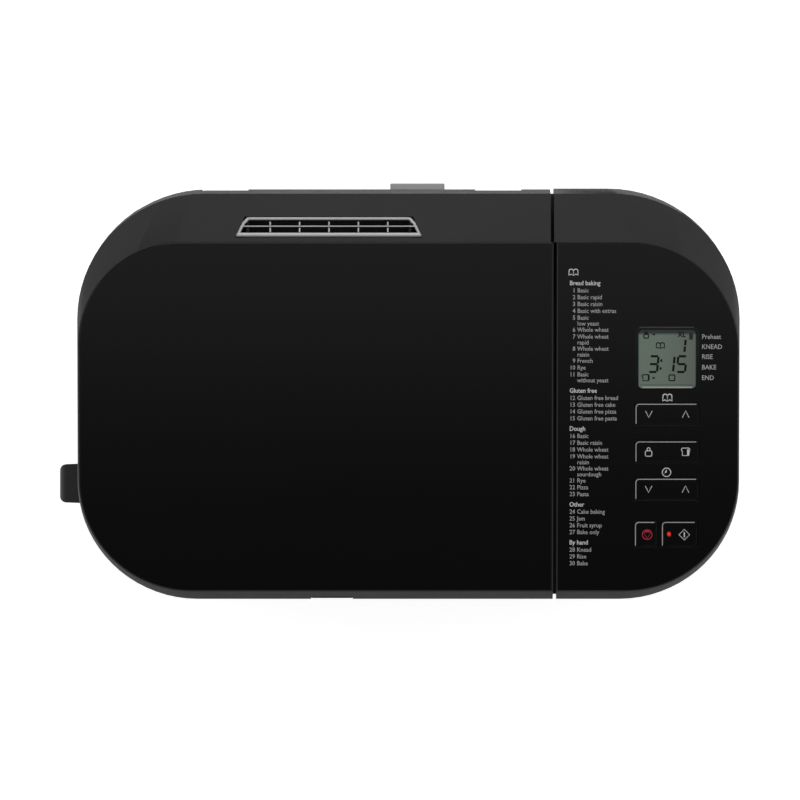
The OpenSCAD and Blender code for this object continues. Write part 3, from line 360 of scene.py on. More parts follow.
def printInk(name, colour, glow=0.0):
    # screen-printed ink, slightly uneven in its cover; the same finish also serves the painted highlights
    # along the key edges and the display cover's front edge
    f = Finish(name)
    cover = f.noise(900, 3)
    pale = tuple(c * 1.12 for c in colour[:3]) + (1,)
    f.surface(baseColor=f.mix(cover, colour, pale), roughness=cover * 0.1 + 0.5, specularIorLevel=0.1)
    if glow:
        f.surface(emissionColor=colour, emissionStrength=glow)
    return f.material


def floorPaper():
    f = Finish("floorPaper")
    f.surface(baseColor=f.mix(f.noise(3, 2), studio["floorColour"], grey(0.95)), roughness=0.9,
              emissionColor=(1, 1, 1, 1), emissionStrength=studio["floorGlow"])
    return f.material


finishes = {
    "gloss_black": pianoBlack(),
    "key_black": pianoBlack(),
    "top_plastic": sparkTexture("topTexture", 0.05, 0.46, 0.5, 0.02),
    "case_plastic": sparkTexture("caseTexture", 0.026, 0.4, 0.5),
    "base_plastic": sparkTexture("baseTexture", 0.024, 0.5, 0.4),
    "deck_plastic": softPlastic("deckPlastic", 0.035, 0.42),
    "vent_plastic": softPlastic("ventPlastic", 0.62, 0.3),
    "spacer_plastic": softPlastic("spacerPlastic", 0.5, 0.4),
    "switch_plastic": softPlastic("ivoryNylon", 0.62, 0.4, (1, 0.97, 0.9)),
    "pulley_plastic": softPlastic("pulleyNylon", 0.05, 0.45),
    "guard_rubber": rubberBlack("guardRubber", 0.03, 0.5),
    "rubber": rubberBlack(),
    "belt_rubber": rubberBlack("beltRubber", 0.018, 0.8),
    "gasket_silicone": siliconeGrey(),
    "chamber_steel": brushedSheet("chamberSteel", 0.56, (40, 40, 900)),
    "inner_alloy": brushedSheet("innerAlloy", 0.72, (30, 700, 30), 0.34),
    "cast_alloy": castAlloy("castAlloy", 0.55),
    "motor_steel": brushedSheet("motorSteel", 0.42, (300, 300, 20), 0.35),
    "zinc": brightMetal("zincPlate", 0.66, 0.22),
    "handle_wire": brightMetal("handleWire", 0.74, 0.14),
    "pan_coating": nonStick(),
    "heater_sheath": heaterSheath(),
    "circuit_board": circuitGreen(),
    "bronze": bronzeBush(),
    "fuse_ceramic": softPlastic("fuseCeramic", 0.7, 0.6, (1, 0.98, 0.93)),
    "red_lamp": printInk("lampRed", (0.75, 0.03, 0.03, 1), 0.6),
    "lcd_frame": softPlastic("displayFrame", 0.14, 0.45),
    "lcd_lens": displayFace(),
}
inks = {
    "white": printInk("inkWhite", (0.78, 0.79, 0.78, 1)),
    "grey": printInk("inkGrey", (0.5, 0.5, 0.49, 1)),
    # painted dim highlight along the keys' edges on the shaded side
    "faint": printInk("paintedDimHighlight", (0.016, 0.016, 0.016, 1)),
    "red": printInk("inkRed", (0.62, 0.05, 0.08, 1)),
    "segment": printInk("inkSegment", (0.006, 0.009, 0.008, 1)),
    "shaded": printInk("inkShaded", (0.03, 0.04, 0.036, 1)),
    # painted highlight for the display cover's bevelled front edge
    "glint": printInk("paintedGlint", (0.5, 0.52, 0.5, 1)),
}


def coatFrame():
    for name, node in nodes.items():
        node.data.materials.clear()
        node.data.materials.append(finishes[slotOf[name]])
    print("finishes on", len(nodes), "nodes")


def only(piece):
    # leaves just this piece selected and active
    if bpy.context.object and bpy.context.object.mode != "OBJECT":
        bpy.ops.object.mode_set(mode="OBJECT")
    bpy.ops.object.select_all(action="DESELECT")
    piece.select_set(True)
    bpy.context.view_layer.objects.active = piece


def settle(piece, finish, smooth=None):
    # place into the mesh, finish on, smooth up to an angle in degrees
    only(piece)
    bpy.ops.object.transform_apply(location=True, rotation=True, scale=True)
    if smooth:
        bpy.ops.object.shade_smooth_by_angle(angle=math.radians(smooth))
    piece.data.materials.clear()
    piece.data.materials.append(finish)


def modify(piece, kind, **settings):
    # a modifier, set and applied
    only(piece)
    modifier = piece.modifiers.new(kind.lower(), kind)
    for name, value in settings.items():
        setattr(modifier, name, value)
    bpy.ops.object.modifier_apply(modifier=modifier.name)


def standIn(piece, nodeName, smooth=40):
    # the piece takes the CAD node's place, body and finish
    settle(piece, finishes[slotOf[nodeName]], smooth)
    modify(piece, "WEIGHTED_NORMAL", weight=100, keep_sharp=True)
    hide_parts(nodeName)
    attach(piece, bodyOf[nodeName])


def start(name):
    # the primitive just added, opened for editing with nothing selected
    piece = bpy.context.object
    piece.name = name
    bpy.ops.object.transform_apply(location=True, rotation=True, scale=True)
    bpy.ops.object.mode_set(mode="EDIT")
    bpy.ops.mesh.select_all(action="DESELECT")
    return piece


def pick(piece, kind, test):
    # selects the faces or edges whose middle (and, for a face, normal) pass the test
    bpy.ops.object.mode_set(mode="EDIT")
    bpy.ops.mesh.select_mode(type=kind)
    bpy.ops.mesh.select_all(action="DESELECT")
    bpy.ops.object.mode_set(mode="OBJECT")
    mesh = piece.data
    if kind == "FACE":
        for face in mesh.polygons:
            face.select = test(face.center, face.normal)
    else:
        for edge in mesh.edges:
            a, b = (mesh.vertices[i].co for i in edge.vertices)
            edge.select = test(a, b)
    bpy.ops.object.mode_set(mode="EDIT")


def pulled(name, centre, sheet, radius, steps, corners=8, capped=True):
    # a drawn form: a rounded sheet pulled up step by step; a step is z, width, depth
    z, width, depth = sheet
    bpy.ops.object.select_all(action="DESELECT")
    bpy.ops.mesh.primitive_plane_add(size=1, location=(centre[0], centre[1], z))
    bpy.context.object.scale = (width, depth, 1)
    piece = start(name)
    bpy.ops.mesh.select_all(action="SELECT")
    bpy.ops.mesh.bevel(offset=radius, segments=corners, affect="VERTICES")
    for nextZ, nextWidth, nextDepth in steps:
        move = {"value": (0, 0, nextZ - z)}
        bpy.ops.mesh.extrude_region_move(TRANSFORM_OT_translate=move)
        bpy.ops.transform.resize(value=(nextWidth / width, nextDepth / depth, 1),
                                 center_override=(centre[0], centre[1], nextZ))
        z, width, depth = nextZ, nextWidth, nextDepth
    if not capped:
        bpy.ops.mesh.delete(type="ONLY_FACE")
    bpy.ops.object.mode_set(mode="OBJECT")
    return piece


def rod(name, place, radius, length, axis="Z", sides=48):
    turn = {"X": (0, math.pi / 2, 0), "Y": (math.pi / 2, 0, 0), "Z": (0, 0, 0)}[axis]
    bpy.ops.object.select_all(action="DESELECT")
    bpy.ops.mesh.primitive_cylinder_add(vertices=sides, radius=radius, depth=length, location=place,
                                        rotation=turn)
    piece = start(name)
    bpy.ops.object.mode_set(mode="OBJECT")
    return piece


def block(name, low, high):
    size = [b - a for a, b in zip(low, high)]
    bpy.ops.object.select_all(action="DESELECT")
    bpy.ops.mesh.primitive_cube_add(size=1, location=[(a + b) / 2 for a, b in zip(low, high)])
    bpy.context.object.scale = size
    piece = start(name)
    bpy.ops.object.mode_set(mode="OBJECT")
    return piece


def bored(piece, tool):
    # cuts the tool out of the piece, and throws the tool away
    modify(piece, "BOOLEAN", operation="DIFFERENCE", object=tool, solver="EXACT")
    bpy.data.objects.remove(tool)


def fused(piece, other):
    # makes the piece and the other one solid, and throws the other away
    modify(piece, "BOOLEAN", operation="UNION", object=other, solver="EXACT")
    bpy.data.objects.remove(other)


def softened(nodeName, width):
    # a CAD piece with its moulded edges rounded off
    source = nodes[nodeName]
    piece = source.copy()
    piece.data = source.data.copy()
    piece.parent = None
    piece.matrix_world = Matrix.Identity(4)
    first, *others = nodeName.split("_")
    piece.name = first + "".join(other.title() for other in others)
    bpy.context.collection.objects.link(piece)
    only(piece)
    bpy.ops.object.mode_set(mode="EDIT")
    bpy.ops.mesh.select_all(action="SELECT")
    bpy.ops.mesh.remove_doubles(threshold=edges["weld"])
    bpy.ops.mesh.dissolve_limited(angle_limit=edges["flat"])
    bpy.ops.object.mode_set(mode="OBJECT")
    modify(piece, "BEVEL", width=width, segments=2, limit_method="ANGLE",
           angle_limit=edges["sharp"], use_clamp_overlap=True)
    standIn(piece, nodeName)


# the sloping top: ink is how thick print stands, keyLift how far the keys stand over the plate
top = {"tilt": math.radians(8), "plate": 2.2 * mm, "ink": 0.04 * mm, "keyLift": 0.3 * mm, "condensed": 0.92}
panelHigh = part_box("lid_panel")[1]
ridgeY = panelHigh.y - top["plate"] * math.sin(top["tilt"])
topPlane = Matrix.Translation((0, ridgeY, panelHigh.z)) @ Matrix.Rotation(top["tilt"], 4, "X")


def down(y):
    # distance along the slope of a point seen from above
    return (y - ridgeY) / math.cos(top["tilt"])


def joined(pieces, name):
    only(pieces[0])
    for piece in pieces:
        piece.select_set(True)
    if len(pieces) > 1:
        bpy.ops.object.join()
    whole = bpy.context.object
    whole.name = name
    return whole


def printed(pieces, name, ink, body="case", slotName="gloss_black", lift=0.0):
    # lays flat artwork on the slope, at a height above the glossy plate
    piece = joined(pieces, name)
    piece.matrix_world = topPlane @ Matrix.Translation((0, 0, lift + top["ink"] / 2)) @ piece.matrix_world
    settle(piece, inks[ink], None)
    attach(piece, body)


def word(text, size, x, y, align="LEFT", heavy=0.0):
    # one printed word, flat, as a mesh of its own
    bpy.ops.object.select_all(action="DESELECT")
    bpy.ops.object.text_add(location=(0, 0, 0))
    label = bpy.context.object
    label.data.body = text
    label.data.size = size
    label.data.align_x = align
    label.data.align_y = "CENTER"
    label.data.resolution_u = 2
    label.data.offset = heavy
    label.data.extrude = top["ink"] / 2
    bpy.ops.object.convert(target="MESH")
    label = bpy.context.object
    label.scale = (top["condensed"], 1, 1)
    label.location = (x, down(y), 0)
    bpy.ops.object.transform_apply(location=True, rotation=True, scale=True)
    return label


def lines(strokes, width):
    # line artwork: each stroke is a list of (x, y) seen from above, closed if it ends where it starts
    shape = bpy.data.curves.new("strokes", "CURVE")
    shape.dimensions = "3D"
    shape.bevel_depth = width / 2
    shape.bevel_resolution = 1
    shape.use_fill_caps = True
    for stroke in strokes:
        closed = stroke[0] == stroke[-1]
        points = stroke[:-1] if closed else stroke
        spline = shape.splines.new("POLY")
        spline.points.add(len(points) - 1)
        spline.use_cyclic_u = closed
        for spot, (x, y) in zip(spline.points, points):
            spot.co = (x, down(y), 0, 1)
    piece = bpy.data.objects.new("strokes", shape)
    bpy.context.collection.objects.link(piece)
    only(piece)
    bpy.ops.object.convert(target="MESH")
    piece = bpy.context.object
    piece.scale.z = top["ink"] / width
    bpy.ops.object.transform_apply(location=True, rotation=True, scale=True)
    return piece


def filled(points):
    # a flat printed patch with straight sides
    bpy.ops.object.select_all(action="DESELECT")
    bpy.ops.mesh.primitive_circle_add(vertices=len(points), radius=1, fill_type="NGON")
    patch = start("patch")
    bpy.ops.object.mode_set(mode="OBJECT")
    for vertex, (x, y) in zip(patch.data.vertices, points):
        vertex.co = (x, down(y), 0)
    modify(patch, "SOLIDIFY", thickness=top["ink"], offset=0)
    return patch


def arc(x, y, radius, fromAngle, toAngle, steps):
    # points round a centre, with both ends, and angles in degrees
    angles = [math.radians(fromAngle + (toAngle - fromAngle) * i / steps) for i in range(steps + 1)]
    return [(x + radius * math.cos(angle), y + radius * math.sin(angle)) for angle in angles]


def ring(x, y, radius, steps=24):
    points = arc(x, y, radius, 0, 360, steps)
    return points[:-1] + [points[0]]


def boxLine(x, y, width, height, radius):
    # a rounded rectangle round a centre
    right, up = width / 2 - radius, height / 2 - radius
    points = []
    for cornerX, cornerY, turn in ((right, up, 0), (-right, up, 90), (-right, -up, 180), (right, -up, 270)):
        points += arc(x + cornerX, y + cornerY, radius, turn, turn + 90, 4)
    return points + [points[0]]


def chevron(x, y, size, up):
    # an arrow head that points up or down
    tip = size / 2 if up else -size / 2
    return [(x - size / 2, y - tip), (x, y + tip), (x + size / 2, y - tip)]


def openBook(x, y, width, height):
    # two pages that meet in the middle
    half = width / 2
    page = [(x, y + height * 0.32)] + arc(x + half * 0.5, y + height * 0.2, half * 0.5, 130, 30, 6)
    page += [(x + half, y - height * 0.4), (x + half * 0.5, y - height * 0.25), (x, y - height * 0.45)]
    page += [(x, y + height * 0.32)]
    return [page, [(2 * x - a, b) for a, b in page]]


def kitchenWeight(x, y, size):
    # a weight with a ring on top
    body = boxLine(x, y - size * 0.18, size * 0.72, size * 0.6, size * 0.14)
    return [body, ring(x, y + size * 0.3, size * 0.17, 12)]


def loaf(x, y, size):
    # a slice with a domed top
    w = size * 0.5
    side = [(x - w * 0.75, y - w * 0.85), (x - w * 0.75, y + w * 0.15)]
    dome = arc(x - w * 0.6, y + w * 0.5, w * 0.38, 230, 90, 6)
    dome += arc(x + w * 0.6, y + w * 0.5, w * 0.38, 90, -50, 6)
    return [side + dome + [(x + w * 0.75, y - w * 0.85), (x - w * 0.75, y - w * 0.85)]]


def digit(pattern, x, y, width, height, lean=0.1):
    # a leaning seven-segment figure: the pattern's letters name the bars that are lit
    w, h, gap = width / 2, height / 2, 0.07 * width
    ends = {"a": ((-w, h), (w, h)), "b": ((w, h), (w, 0)), "c": ((w, 0), (w, -h)), "d": ((-w, -h), (w, -h)),
            "e": ((-w, 0), (-w, -h)), "f": ((-w, h), (-w, 0)), "g": ((-w, 0), (w, 0))}
    lit = []
    for letter in pattern:
        (ax, ay), (bx, by) = ends[letter]
        if ay == by:
            ax, bx = ax + gap, bx - gap
        else:
            ay, by = ay - gap, by + gap
        lit.append([(x + ax + lean * ay, y + ay), (x + bx + lean * by, y + by)])
    return lit


def keyOutline(x, y, width, length):
    # painted highlight: the pale stroke along a key's left and rear edges, where the light catches them, and
    # the faint one along the others, on the shaded side
    inset, radius = keyEdge["inset"], keyEdge["corner"]
    left, right = x - width / 2 + inset, x + width / 2 - inset
    front, rear = y - length / 2 + inset, y + length / 2 - inset
    pale = [(left, front + keyEdge["highlightFrom"])] + arc(left + radius, rear - radius, radius, 180, 90, 6)
    pale += [(right - keyEdge["highlightTo"], rear)]
    faint = [(left + keyEdge["dimHighlightFrom"], front)] + arc(right - radius, front + radius, radius, 270, 360, 6)
    faint += [(right, rear - keyEdge["dimHighlightTo"])]
    return [pale], [faint]


makeCamera()
makeStudio()
coatFrame()

# the CAD pieces whose edges show, and how wide each is rounded
edges = {"weld": 0.01 * mm, "flat": math.radians(0.4), "sharp": math.radians(30)}
softWidths = {
    "lid_panel": 0.55 * mm, "console_panel": 0.4 * mm, "lid_frame": 0.5 * mm, "console_cover": 0.5 * mm,
    "outer_shell": 0.4 * mm, "base_tray": 0.5 * mm, "deck_frame": 0.6 * mm,
    "rear_spacer": 0.6 * mm, "program_key": 0.3 * mm, "size_crust_key": 0.3 * mm,
    "timer_key": 0.3 * mm, "stop_key": 0.3 * mm, "start_key": 0.3 * mm,
}
for nodeName, width in softWidths.items():
    softened(nodeName, width)
print("moulded edges softened")

# rubber block that guards the cord outlet: rounded, with a collar round its hole
guard = {"corner": 3.8 * mm, "bore": 3.75 * mm, "boreLong": 60 * mm, "taper": 0.92,
         "collar": 6.4 * mm, "groove": 1.0 * mm, "grooveDeep": 0.9 * mm, "coreLong": 10 * mm}
low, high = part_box("cord_guard")
midY, midZ = (low.y + high.y) / 2, (low.z + high.z) / 2
mouth = (low.x, midY, midZ)
cordGuard = block("cordGuard", low, high)
pick(cordGuard, "FACE", lambda c, n: n.x < -0.9)
bpy.ops.transform.resize(value=(1, guard["taper"], guard["taper"]), center_override=mouth)
pick(cordGuard, "EDGE", lambda a, b: a.x < low.x + mm and b.x < low.x + mm)
bpy.ops.mesh.bevel(offset=guard["corner"], segments=6, affect="EDGES")
bpy.ops.object.mode_set(mode="OBJECT")
ringCut = rod("ringCut", mouth, guard["collar"] + guard["groove"], 2 * guard["grooveDeep"], "X")
bored(ringCut, rod("core", mouth, guard["collar"], guard["coreLong"], "X"))
bored(cordGuard, ringCut)
bored(cordGuard, rod("hole", mouth, guard["bore"], guard["boreLong"], "X"))
standIn(cordGuard, "cord_guard")
print("cord guard")

# display: clear cover with rounded corners, in a thin polished surround
display = {
    "x": 163.5 * mm, "y": 18.8 * mm, "wide": 34.8 * mm, "long": 36.0 * mm, "corner": 2.4 * mm,
    # heights against the plate's top, and how much wider or narrower than the cover, all round
    "lens": [(-top["plate"], 0), (-0.5 * mm, 0), (-0.1 * mm, -0.4 * mm)],
    "surround": [(-0.3 * mm, 1.3 * mm), (0.05 * mm, 1.3 * mm), (0.2 * mm, 1.05 * mm)],
    "opening": [(-5 * mm, 0.05 * mm), (5 * mm, 0.05 * mm)],
    "surroundCorner": 3.2 * mm,
    "printLift": -0.1 * mm,
}


def displayForm(name, key, corner):
    wide, long = display["wide"], display["long"]
    sheet, *steps = [(z, wide + 2 * wider, long + 2 * wider) for z, wider in display[key]]
    return pulled(name, (display["x"], down(display["y"])), sheet, corner, steps)


lens = displayForm("displayLens", "lens", display["corner"])
lens.matrix_world = topPlane @ lens.matrix_world
standIn(lens, "lcd_window", 30)
surround = displayForm("displaySurround", "surround", display["surroundCorner"])
bored(surround, displayForm("opening", "opening", display["corner"]))
surround.matrix_world = topPlane @ surround.matrix_world
settle(surround, finishes["gloss_black"], 30)
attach(surround, "case")

# what the display shows: all in millimetres from its middle
content = {
    # lit bars, middle x, middle y, width, height
    "figures": [("abgcd", -8.1, -3.1, 5.0, 9.4), ("bc", 1.5, -3.1, 5.0, 9.4), ("afgcd", 8.7, -3.1, 5.0, 9.4),
                ("bc", 8.4, 7.8, 4.6, 7.8)],
    "colon": [[(-4.1, -0.95), (-2.9, -0.95)], [(-4.55, -5.7), (-3.35, -5.7)]],
    "pictures": kitchenWeight(-12.6, 14.3, 3.9) + openBook(-4.1, 7.8, 5.0, 3.4)
    + [boxLine(2.9, -11.3, 3.4, 3.4, 0.5)] + loaf(-12.9, -11.3, 4.2),
    "dashes": [[(-8.8, 14.7), (-7.2, 14.7)], [(-8.9, -11.4), (-7.3, -11.4)]],
    "crust": [[(-11.0, -12.9), (-11.0, -9.9)]],
    "sizeBar": [[(14.3, 11.6), (14.3, 15.6)]],
    "frontLine": [[(-16.2, -15.6), (16.2, -15.6)]],
    # frontGlint is a painted highlight where the cover's bevelled front edge catches the light, not something
    # the display shows
    "frontGlint": [[(-15.0, -17.1), (15.0, -17.1)]],
    "size": ("XL", 4.2, 6.4, 14.5),
}


def shown(strokes, width):
    placed = [[(display["x"] + a * mm, display["y"] + b * mm) for a, b in stroke] for stroke in strokes]
    return lines(placed, width * mm)


figures = []
for lit, x, y, width, height in content["figures"]:
    figures += digit(lit, x, y, width, height)
text, size, x, y = content["size"]
printed([shown(figures, 1.35), shown(content["colon"], 1.5), shown(content["pictures"], 0.7),
         shown(content["dashes"], 0.9), shown(content["crust"], 1.1),
         word(text, size * mm, display["x"] + x * mm, display["y"] + y * mm, heavy=0.12 * mm)],
        "displayFigures", "segment", "case", "lcd_lens", display["printLift"])
printed([shown(content["sizeBar"], 2.2), shown(content["frontLine"], 0.25)],
        "displayShades", "shaded", "case", "lcd_lens", display["printLift"])
# painted highlight: a pale line along the cover's bevelled front edge
printed([shown(content["frontGlint"], 0.9)],
        "displayGlint", "glint", "case", "lcd_lens", display["printLift"])
print("display")

# program list: a heading, then numbered rows; a row starting with a space carries on the one above
listing = {
    "size": 3.7 * mm, "headSize": 3.848 * mm, "heavy": 0.02 * mm, "headHeavy": 0.05 * mm,
    "numberX": 108.5 * mm, "textX": 109.6 * mm, "headX": 105.0 * mm, "startY": 64.1 * mm,
    "row": 4.08 * mm, "carry": 3.52 * mm, "afterCarry": 3.72 * mm,
    "beforeHead": 6.2 * mm, "afterHead": 4.38 * mm,
}
programs = {
    "Bread baking": ["Basic", "Basic rapid", "Basic raisin", "Basic with extras", "Basic", " low yeast",
                     "Whole wheat", "Whole wheat", " rapid", "Whole wheat", " raisin", "French", "Rye",
                     "Basic", " without yeast"],
    "Gluten free": ["Gluten free bread", "Gluten free cake", "Gluten free pizza", "Gluten free pasta"],
    "Dough": ["Basic", "Basic raisin", "Whole wheat", "Whole wheat", " raisin", "Whole wheat", " sourdough",
              "Rye", "Pizza", "Pasta"],
    "Other": ["Cake baking", "Jam", "Fruit syrup", "Bake only"],
    "By hand": ["Knead", "Rise", "Bake"],
}
rows, heads = [], []
y = listing["startY"]
number = 0
for heading, names in programs.items():
    heads.append(word(heading, listing["headSize"], listing["headX"], y, "LEFT", listing["headHeavy"]))
    y -= listing["afterHead"]
    for i, name in enumerate(names):
        if not name.startswith(" "):
            number += 1
            rows.append(word(str(number), listing["size"], listing["numberX"], y, "RIGHT", listing["heavy"]))
        rows.append(word(name.strip(), listing["size"], listing["textX"], y, "LEFT", listing["heavy"]))
        following = names[i + 1] if i + 1 < len(names) else None
        if following is None:
            y -= listing["beforeHead"]
        elif following.startswith(" "):
            y -= listing["carry"]
        else:
            y -= listing["afterCarry"] if name.startswith(" ") else listing["row"]
printed(rows, "programList", "grey")
printed(heads, "programHeads", "white")
stages = {
    "x": 184.2 * mm, "size": 4.0 * mm, "heavy": 0.03 * mm,
    "names": {"Preheat": 32.0 * mm, "KNEAD": 26.0 * mm, "RISE": 20.0 * mm, "BAKE": 13.7 * mm,
              "END": 7.4 * mm},
}
stageWords = [word(name, stages["size"], stages["x"], y, "LEFT", stages["heavy"])
              for name, y in stages["names"].items()]
printed(stageWords, "stageNames", "grey")

# an open book over the list and over the first key, and a clock over the timer key
symbols = {
    "listBook": (107.3 * mm, 70.4 * mm, 5.6 * mm, 3.6 * mm),
    "keyBook": (163.7 * mm, -4.6 * mm, 5.6 * mm, 4.4 * mm),
    "clock": (163.3 * mm, -49.2 * mm, 2.55 * mm),
    "clockHands": [(163.3 * mm, -47.2 * mm), (163.5 * mm, -49.1 * mm), (162.1 * mm, -49.7 * mm)],
}
printed([lines(openBook(*symbols["listBook"]), 0.6 * mm), lines(openBook(*symbols["keyBook"]), 0.7 * mm),
         lines([ring(*symbols["clock"])], 0.55 * mm), filled(symbols["clockHands"])],
        "panelSymbols", "white")
print("printed console:", number, "programs")

# keys: painted edge highlights, pale along the lit left and rear edges and faint along the others, and their
# symbols
keyEdge = {"inset": 0.45 * mm, "corner": 2.0 * mm, "pale": 0.55 * mm, "faint": 0.3 * mm,
           # how far short of the key's corners the strokes start and stop
           "highlightFrom": 0.2 * mm, "highlightTo": 1.0 * mm, "dimHighlightFrom": 4 * mm, "dimHighlightTo": 3 * mm}
keys = {
    # key: body, centre x, centre y, width, length, in millimetres
    "program": ("program_rocker", 163.5, -14.3, 38.0, 12.8),
    "sizeCrust": ("size_crust_rocker", 163.5, -36.9, 38.0, 12.8),
    "timer": ("timer_rocker", 163.5, -59.3, 38.0, 12.8),
    "stop": ("stop_button", 150.9, -86.3, 13.2, 15.0),
    "start": ("start_button", 171.1, -86.3, 21.2, 15.0),
}
# each key's artwork, in millimetres from its middle, with the width of its stroke
chevrons = [chevron(-10.9, 0, 4.0, False), chevron(11.2, 0, 4.0, True)]
keyMarks = {
    "program": ("Marks", "white", [(chevrons, 0.45)]),
    "timer": ("Marks", "white", [(chevrons, 0.45)]),
    "sizeCrust": ("Marks", "white", [(kitchenWeight(-11.0, 0, 5.4) + loaf(11.2, 0, 5.2), 0.5),
                                     ([[(12.6, -1.9), (12.6, 1.6)]], 1.0)]),
    "stop": ("Mark", "red", [([ring(0.9, -0.3, 2.9)], 0.5),
                             ([[(-1.3, 1.2), (3.1, 1.2), (0.9, -2.7), (-1.3, 1.2)]], 0.5),
                             ([[(-0.3, 1.8), (2.1, 1.8)]], 0.7)]),
    "start": ("Mark", "white", [([[(-0.2, -0.3), (3.0, 2.9), (6.2, -0.3), (3.0, -3.5), (-0.2, -0.3)]], 0.45),
                                ([[(3.0, -1.8), (3.0, 1.2)]], 0.75)]),
}


def onKey(strokes, x, y, width):
    placed = [[((x + a) * mm, (y + b) * mm) for a, b in stroke] for stroke in strokes]
    return lines(placed, width * mm)


# painted highlights along each key's edges: pale on the lit side, faint on the shaded side
for name, (body, x, y, width, length) in keys.items():
    pale, faint = keyOutline(x * mm, y * mm, width * mm, length * mm)
    onBody = (body, "key_black", top["keyLift"])
    printed([lines(pale, keyEdge["pale"])], name + "EdgeHighlight", "grey", *onBody)
    printed([lines(faint, keyEdge["faint"])], name + "EdgeDimHighlight", "faint", *onBody)
for name, (ending, ink, artwork) in keyMarks.items():
    body, x, y = keys[name][:3]
    marks = [onKey(strokes, x, y, width) for strokes, width in artwork]
    printed(marks, name + ending, ink, body, "key_black", top["keyLift"])
print("keys marked")

# steam vent: a rim round three sides, a wider bar at the front, one long thin bar and short fins
vent = {"fall": math.radians(15.27), "sink": 0.15 * mm,
        "rim": 1.9 * mm, "slant": 5.3 * mm, "corner": 2.6 * mm,
        "frontBar": 2.6 * mm, "frontStep": 0.5 * mm, "mid": 0.7 * mm, "midY": 6.6 * mm,
        "fin": 0.9 * mm, "fins": 5, "finPitch": 17.6 * mm, "firstFin": 20.8 * mm,
        # fins in two rows: from the front bar to short of the long bar, and behind it
        "frontFin": (2 * mm, -1.0 * mm), "rearFin": (0.6 * mm, 2.6 * mm)}
low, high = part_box("vent_grille")


def onBand(y):
    # height of the textured band behind the ridge
    return panelHigh.z - (y - ridgeY) * math.tan(vent["fall"])


def bandBar(points, width, name):
    # a round bar along points (x, y) of the band, its top a little under the band
    shape = bpy.data.curves.new(name, "CURVE")
    shape.dimensions = "3D"
    shape.bevel_mode = "ROUND"
    shape.bevel_depth = width / 2
    shape.bevel_resolution = 3
    shape.use_fill_caps = True
    spline = shape.splines.new("POLY")
    spline.points.add(len(points) - 1)
    for spot, (x, y) in zip(spline.points, points):
        spot.co = (x, y, onBand(y) - vent["sink"] - width / 2, 1)
    piece = bpy.data.objects.new(name, shape)
    bpy.context.collection.objects.link(piece)
    only(piece)
    bpy.ops.object.convert(target="MESH")
    return bpy.context.object


half = vent["rim"] / 2
left, right, front, rear = low.x + half, high.x - half, low.y + half, high.y - half
slant, corner = vent["slant"], vent["corner"]
bend = slant * 0.75  # where the leaning sides meet the rounded corners
turnX = slant + corner * 0.9
rim = [(left, front), (left + bend, rear - corner)]
rim += arc(left + turnX, rear - corner, corner, 160, 90, 5)
rim += arc(right - turnX, rear - corner, corner, 90, 20, 5)
rim += [(right - bend, rear - corner), (right, front)]
barY = low.y + vent["midY"]
frontY = front + vent["frontStep"]
bars = [bandBar(rim, vent["rim"], "ventRim"),
        bandBar([(low.x + slant / 2, barY), (high.x - slant / 2, barY)], vent["mid"], "bar"),
        bandBar([(low.x, frontY), (high.x, frontY)], vent["frontBar"], "bar")]
for i in range(vent["fins"]):
    x = low.x + vent["firstFin"] + vent["finPitch"] * i
    fromY, toY = front + vent["frontFin"][0], barY + vent["frontFin"][1]
    bars.append(bandBar([(x, fromY), (x, toY)], vent["fin"], "fin"))
    fromY, toY = barY + vent["rearFin"][0], barY + vent["rearFin"][1]
    bars.append(bandBar([(x, fromY), (x, toY)], vent["fin"], "fin"))
standIn(joined(bars, "ventGrille"), "vent_grille")
print("steam vent")

# bread pan: deep-drawn and coated, with two beads round its wall, a rolled rim and two lugs for the handle
pan = {
    "wall": 1.5 * mm, "corner": 14 * mm, "lip": 4 * mm, "earRise": 17 * mm, "driveHole": 9 * mm,
    "floorIn": 14,
    # profiles in millimetres: height, and how much wider than the wall
    "foot": [(0, -12), (1.2, -6), (3.5, -2), (7, 0)],
    "beads": (34, 100),
    "bead": [(0, 0), (1.5, 1.2), (4, 2.4), (6.5, 1.2), (8, 0)],
    "rim": [(-3, 0), (-1.4, 1.2), (-0.6, 4), (-0.8, 7.4), (-2, 8), (-3.2, 7.4)],
    "lug": 10 * mm, "lugThick": 2 * mm, "lugOut": 1 * mm, "lugRise": 7 * mm, "lugFall": 12 * mm,
    "pivot": 2.5 * mm, "lugEdge": 0.4 * mm, "through": 10 * mm,
}
low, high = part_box("bread_pan")
driveX, driveY = (low.x + high.x) / 2, (low.y + high.y) / 2
rimZ = high.z - pan["earRise"]
panW, panD = high.x - low.x - 2 * pan["lip"], high.y - low.y - 2 * pan["lip"]


def panSteps(fromZ, profile):
    return [(fromZ + up * mm, panW + wider * mm, panD + wider * mm) for up, wider in profile]


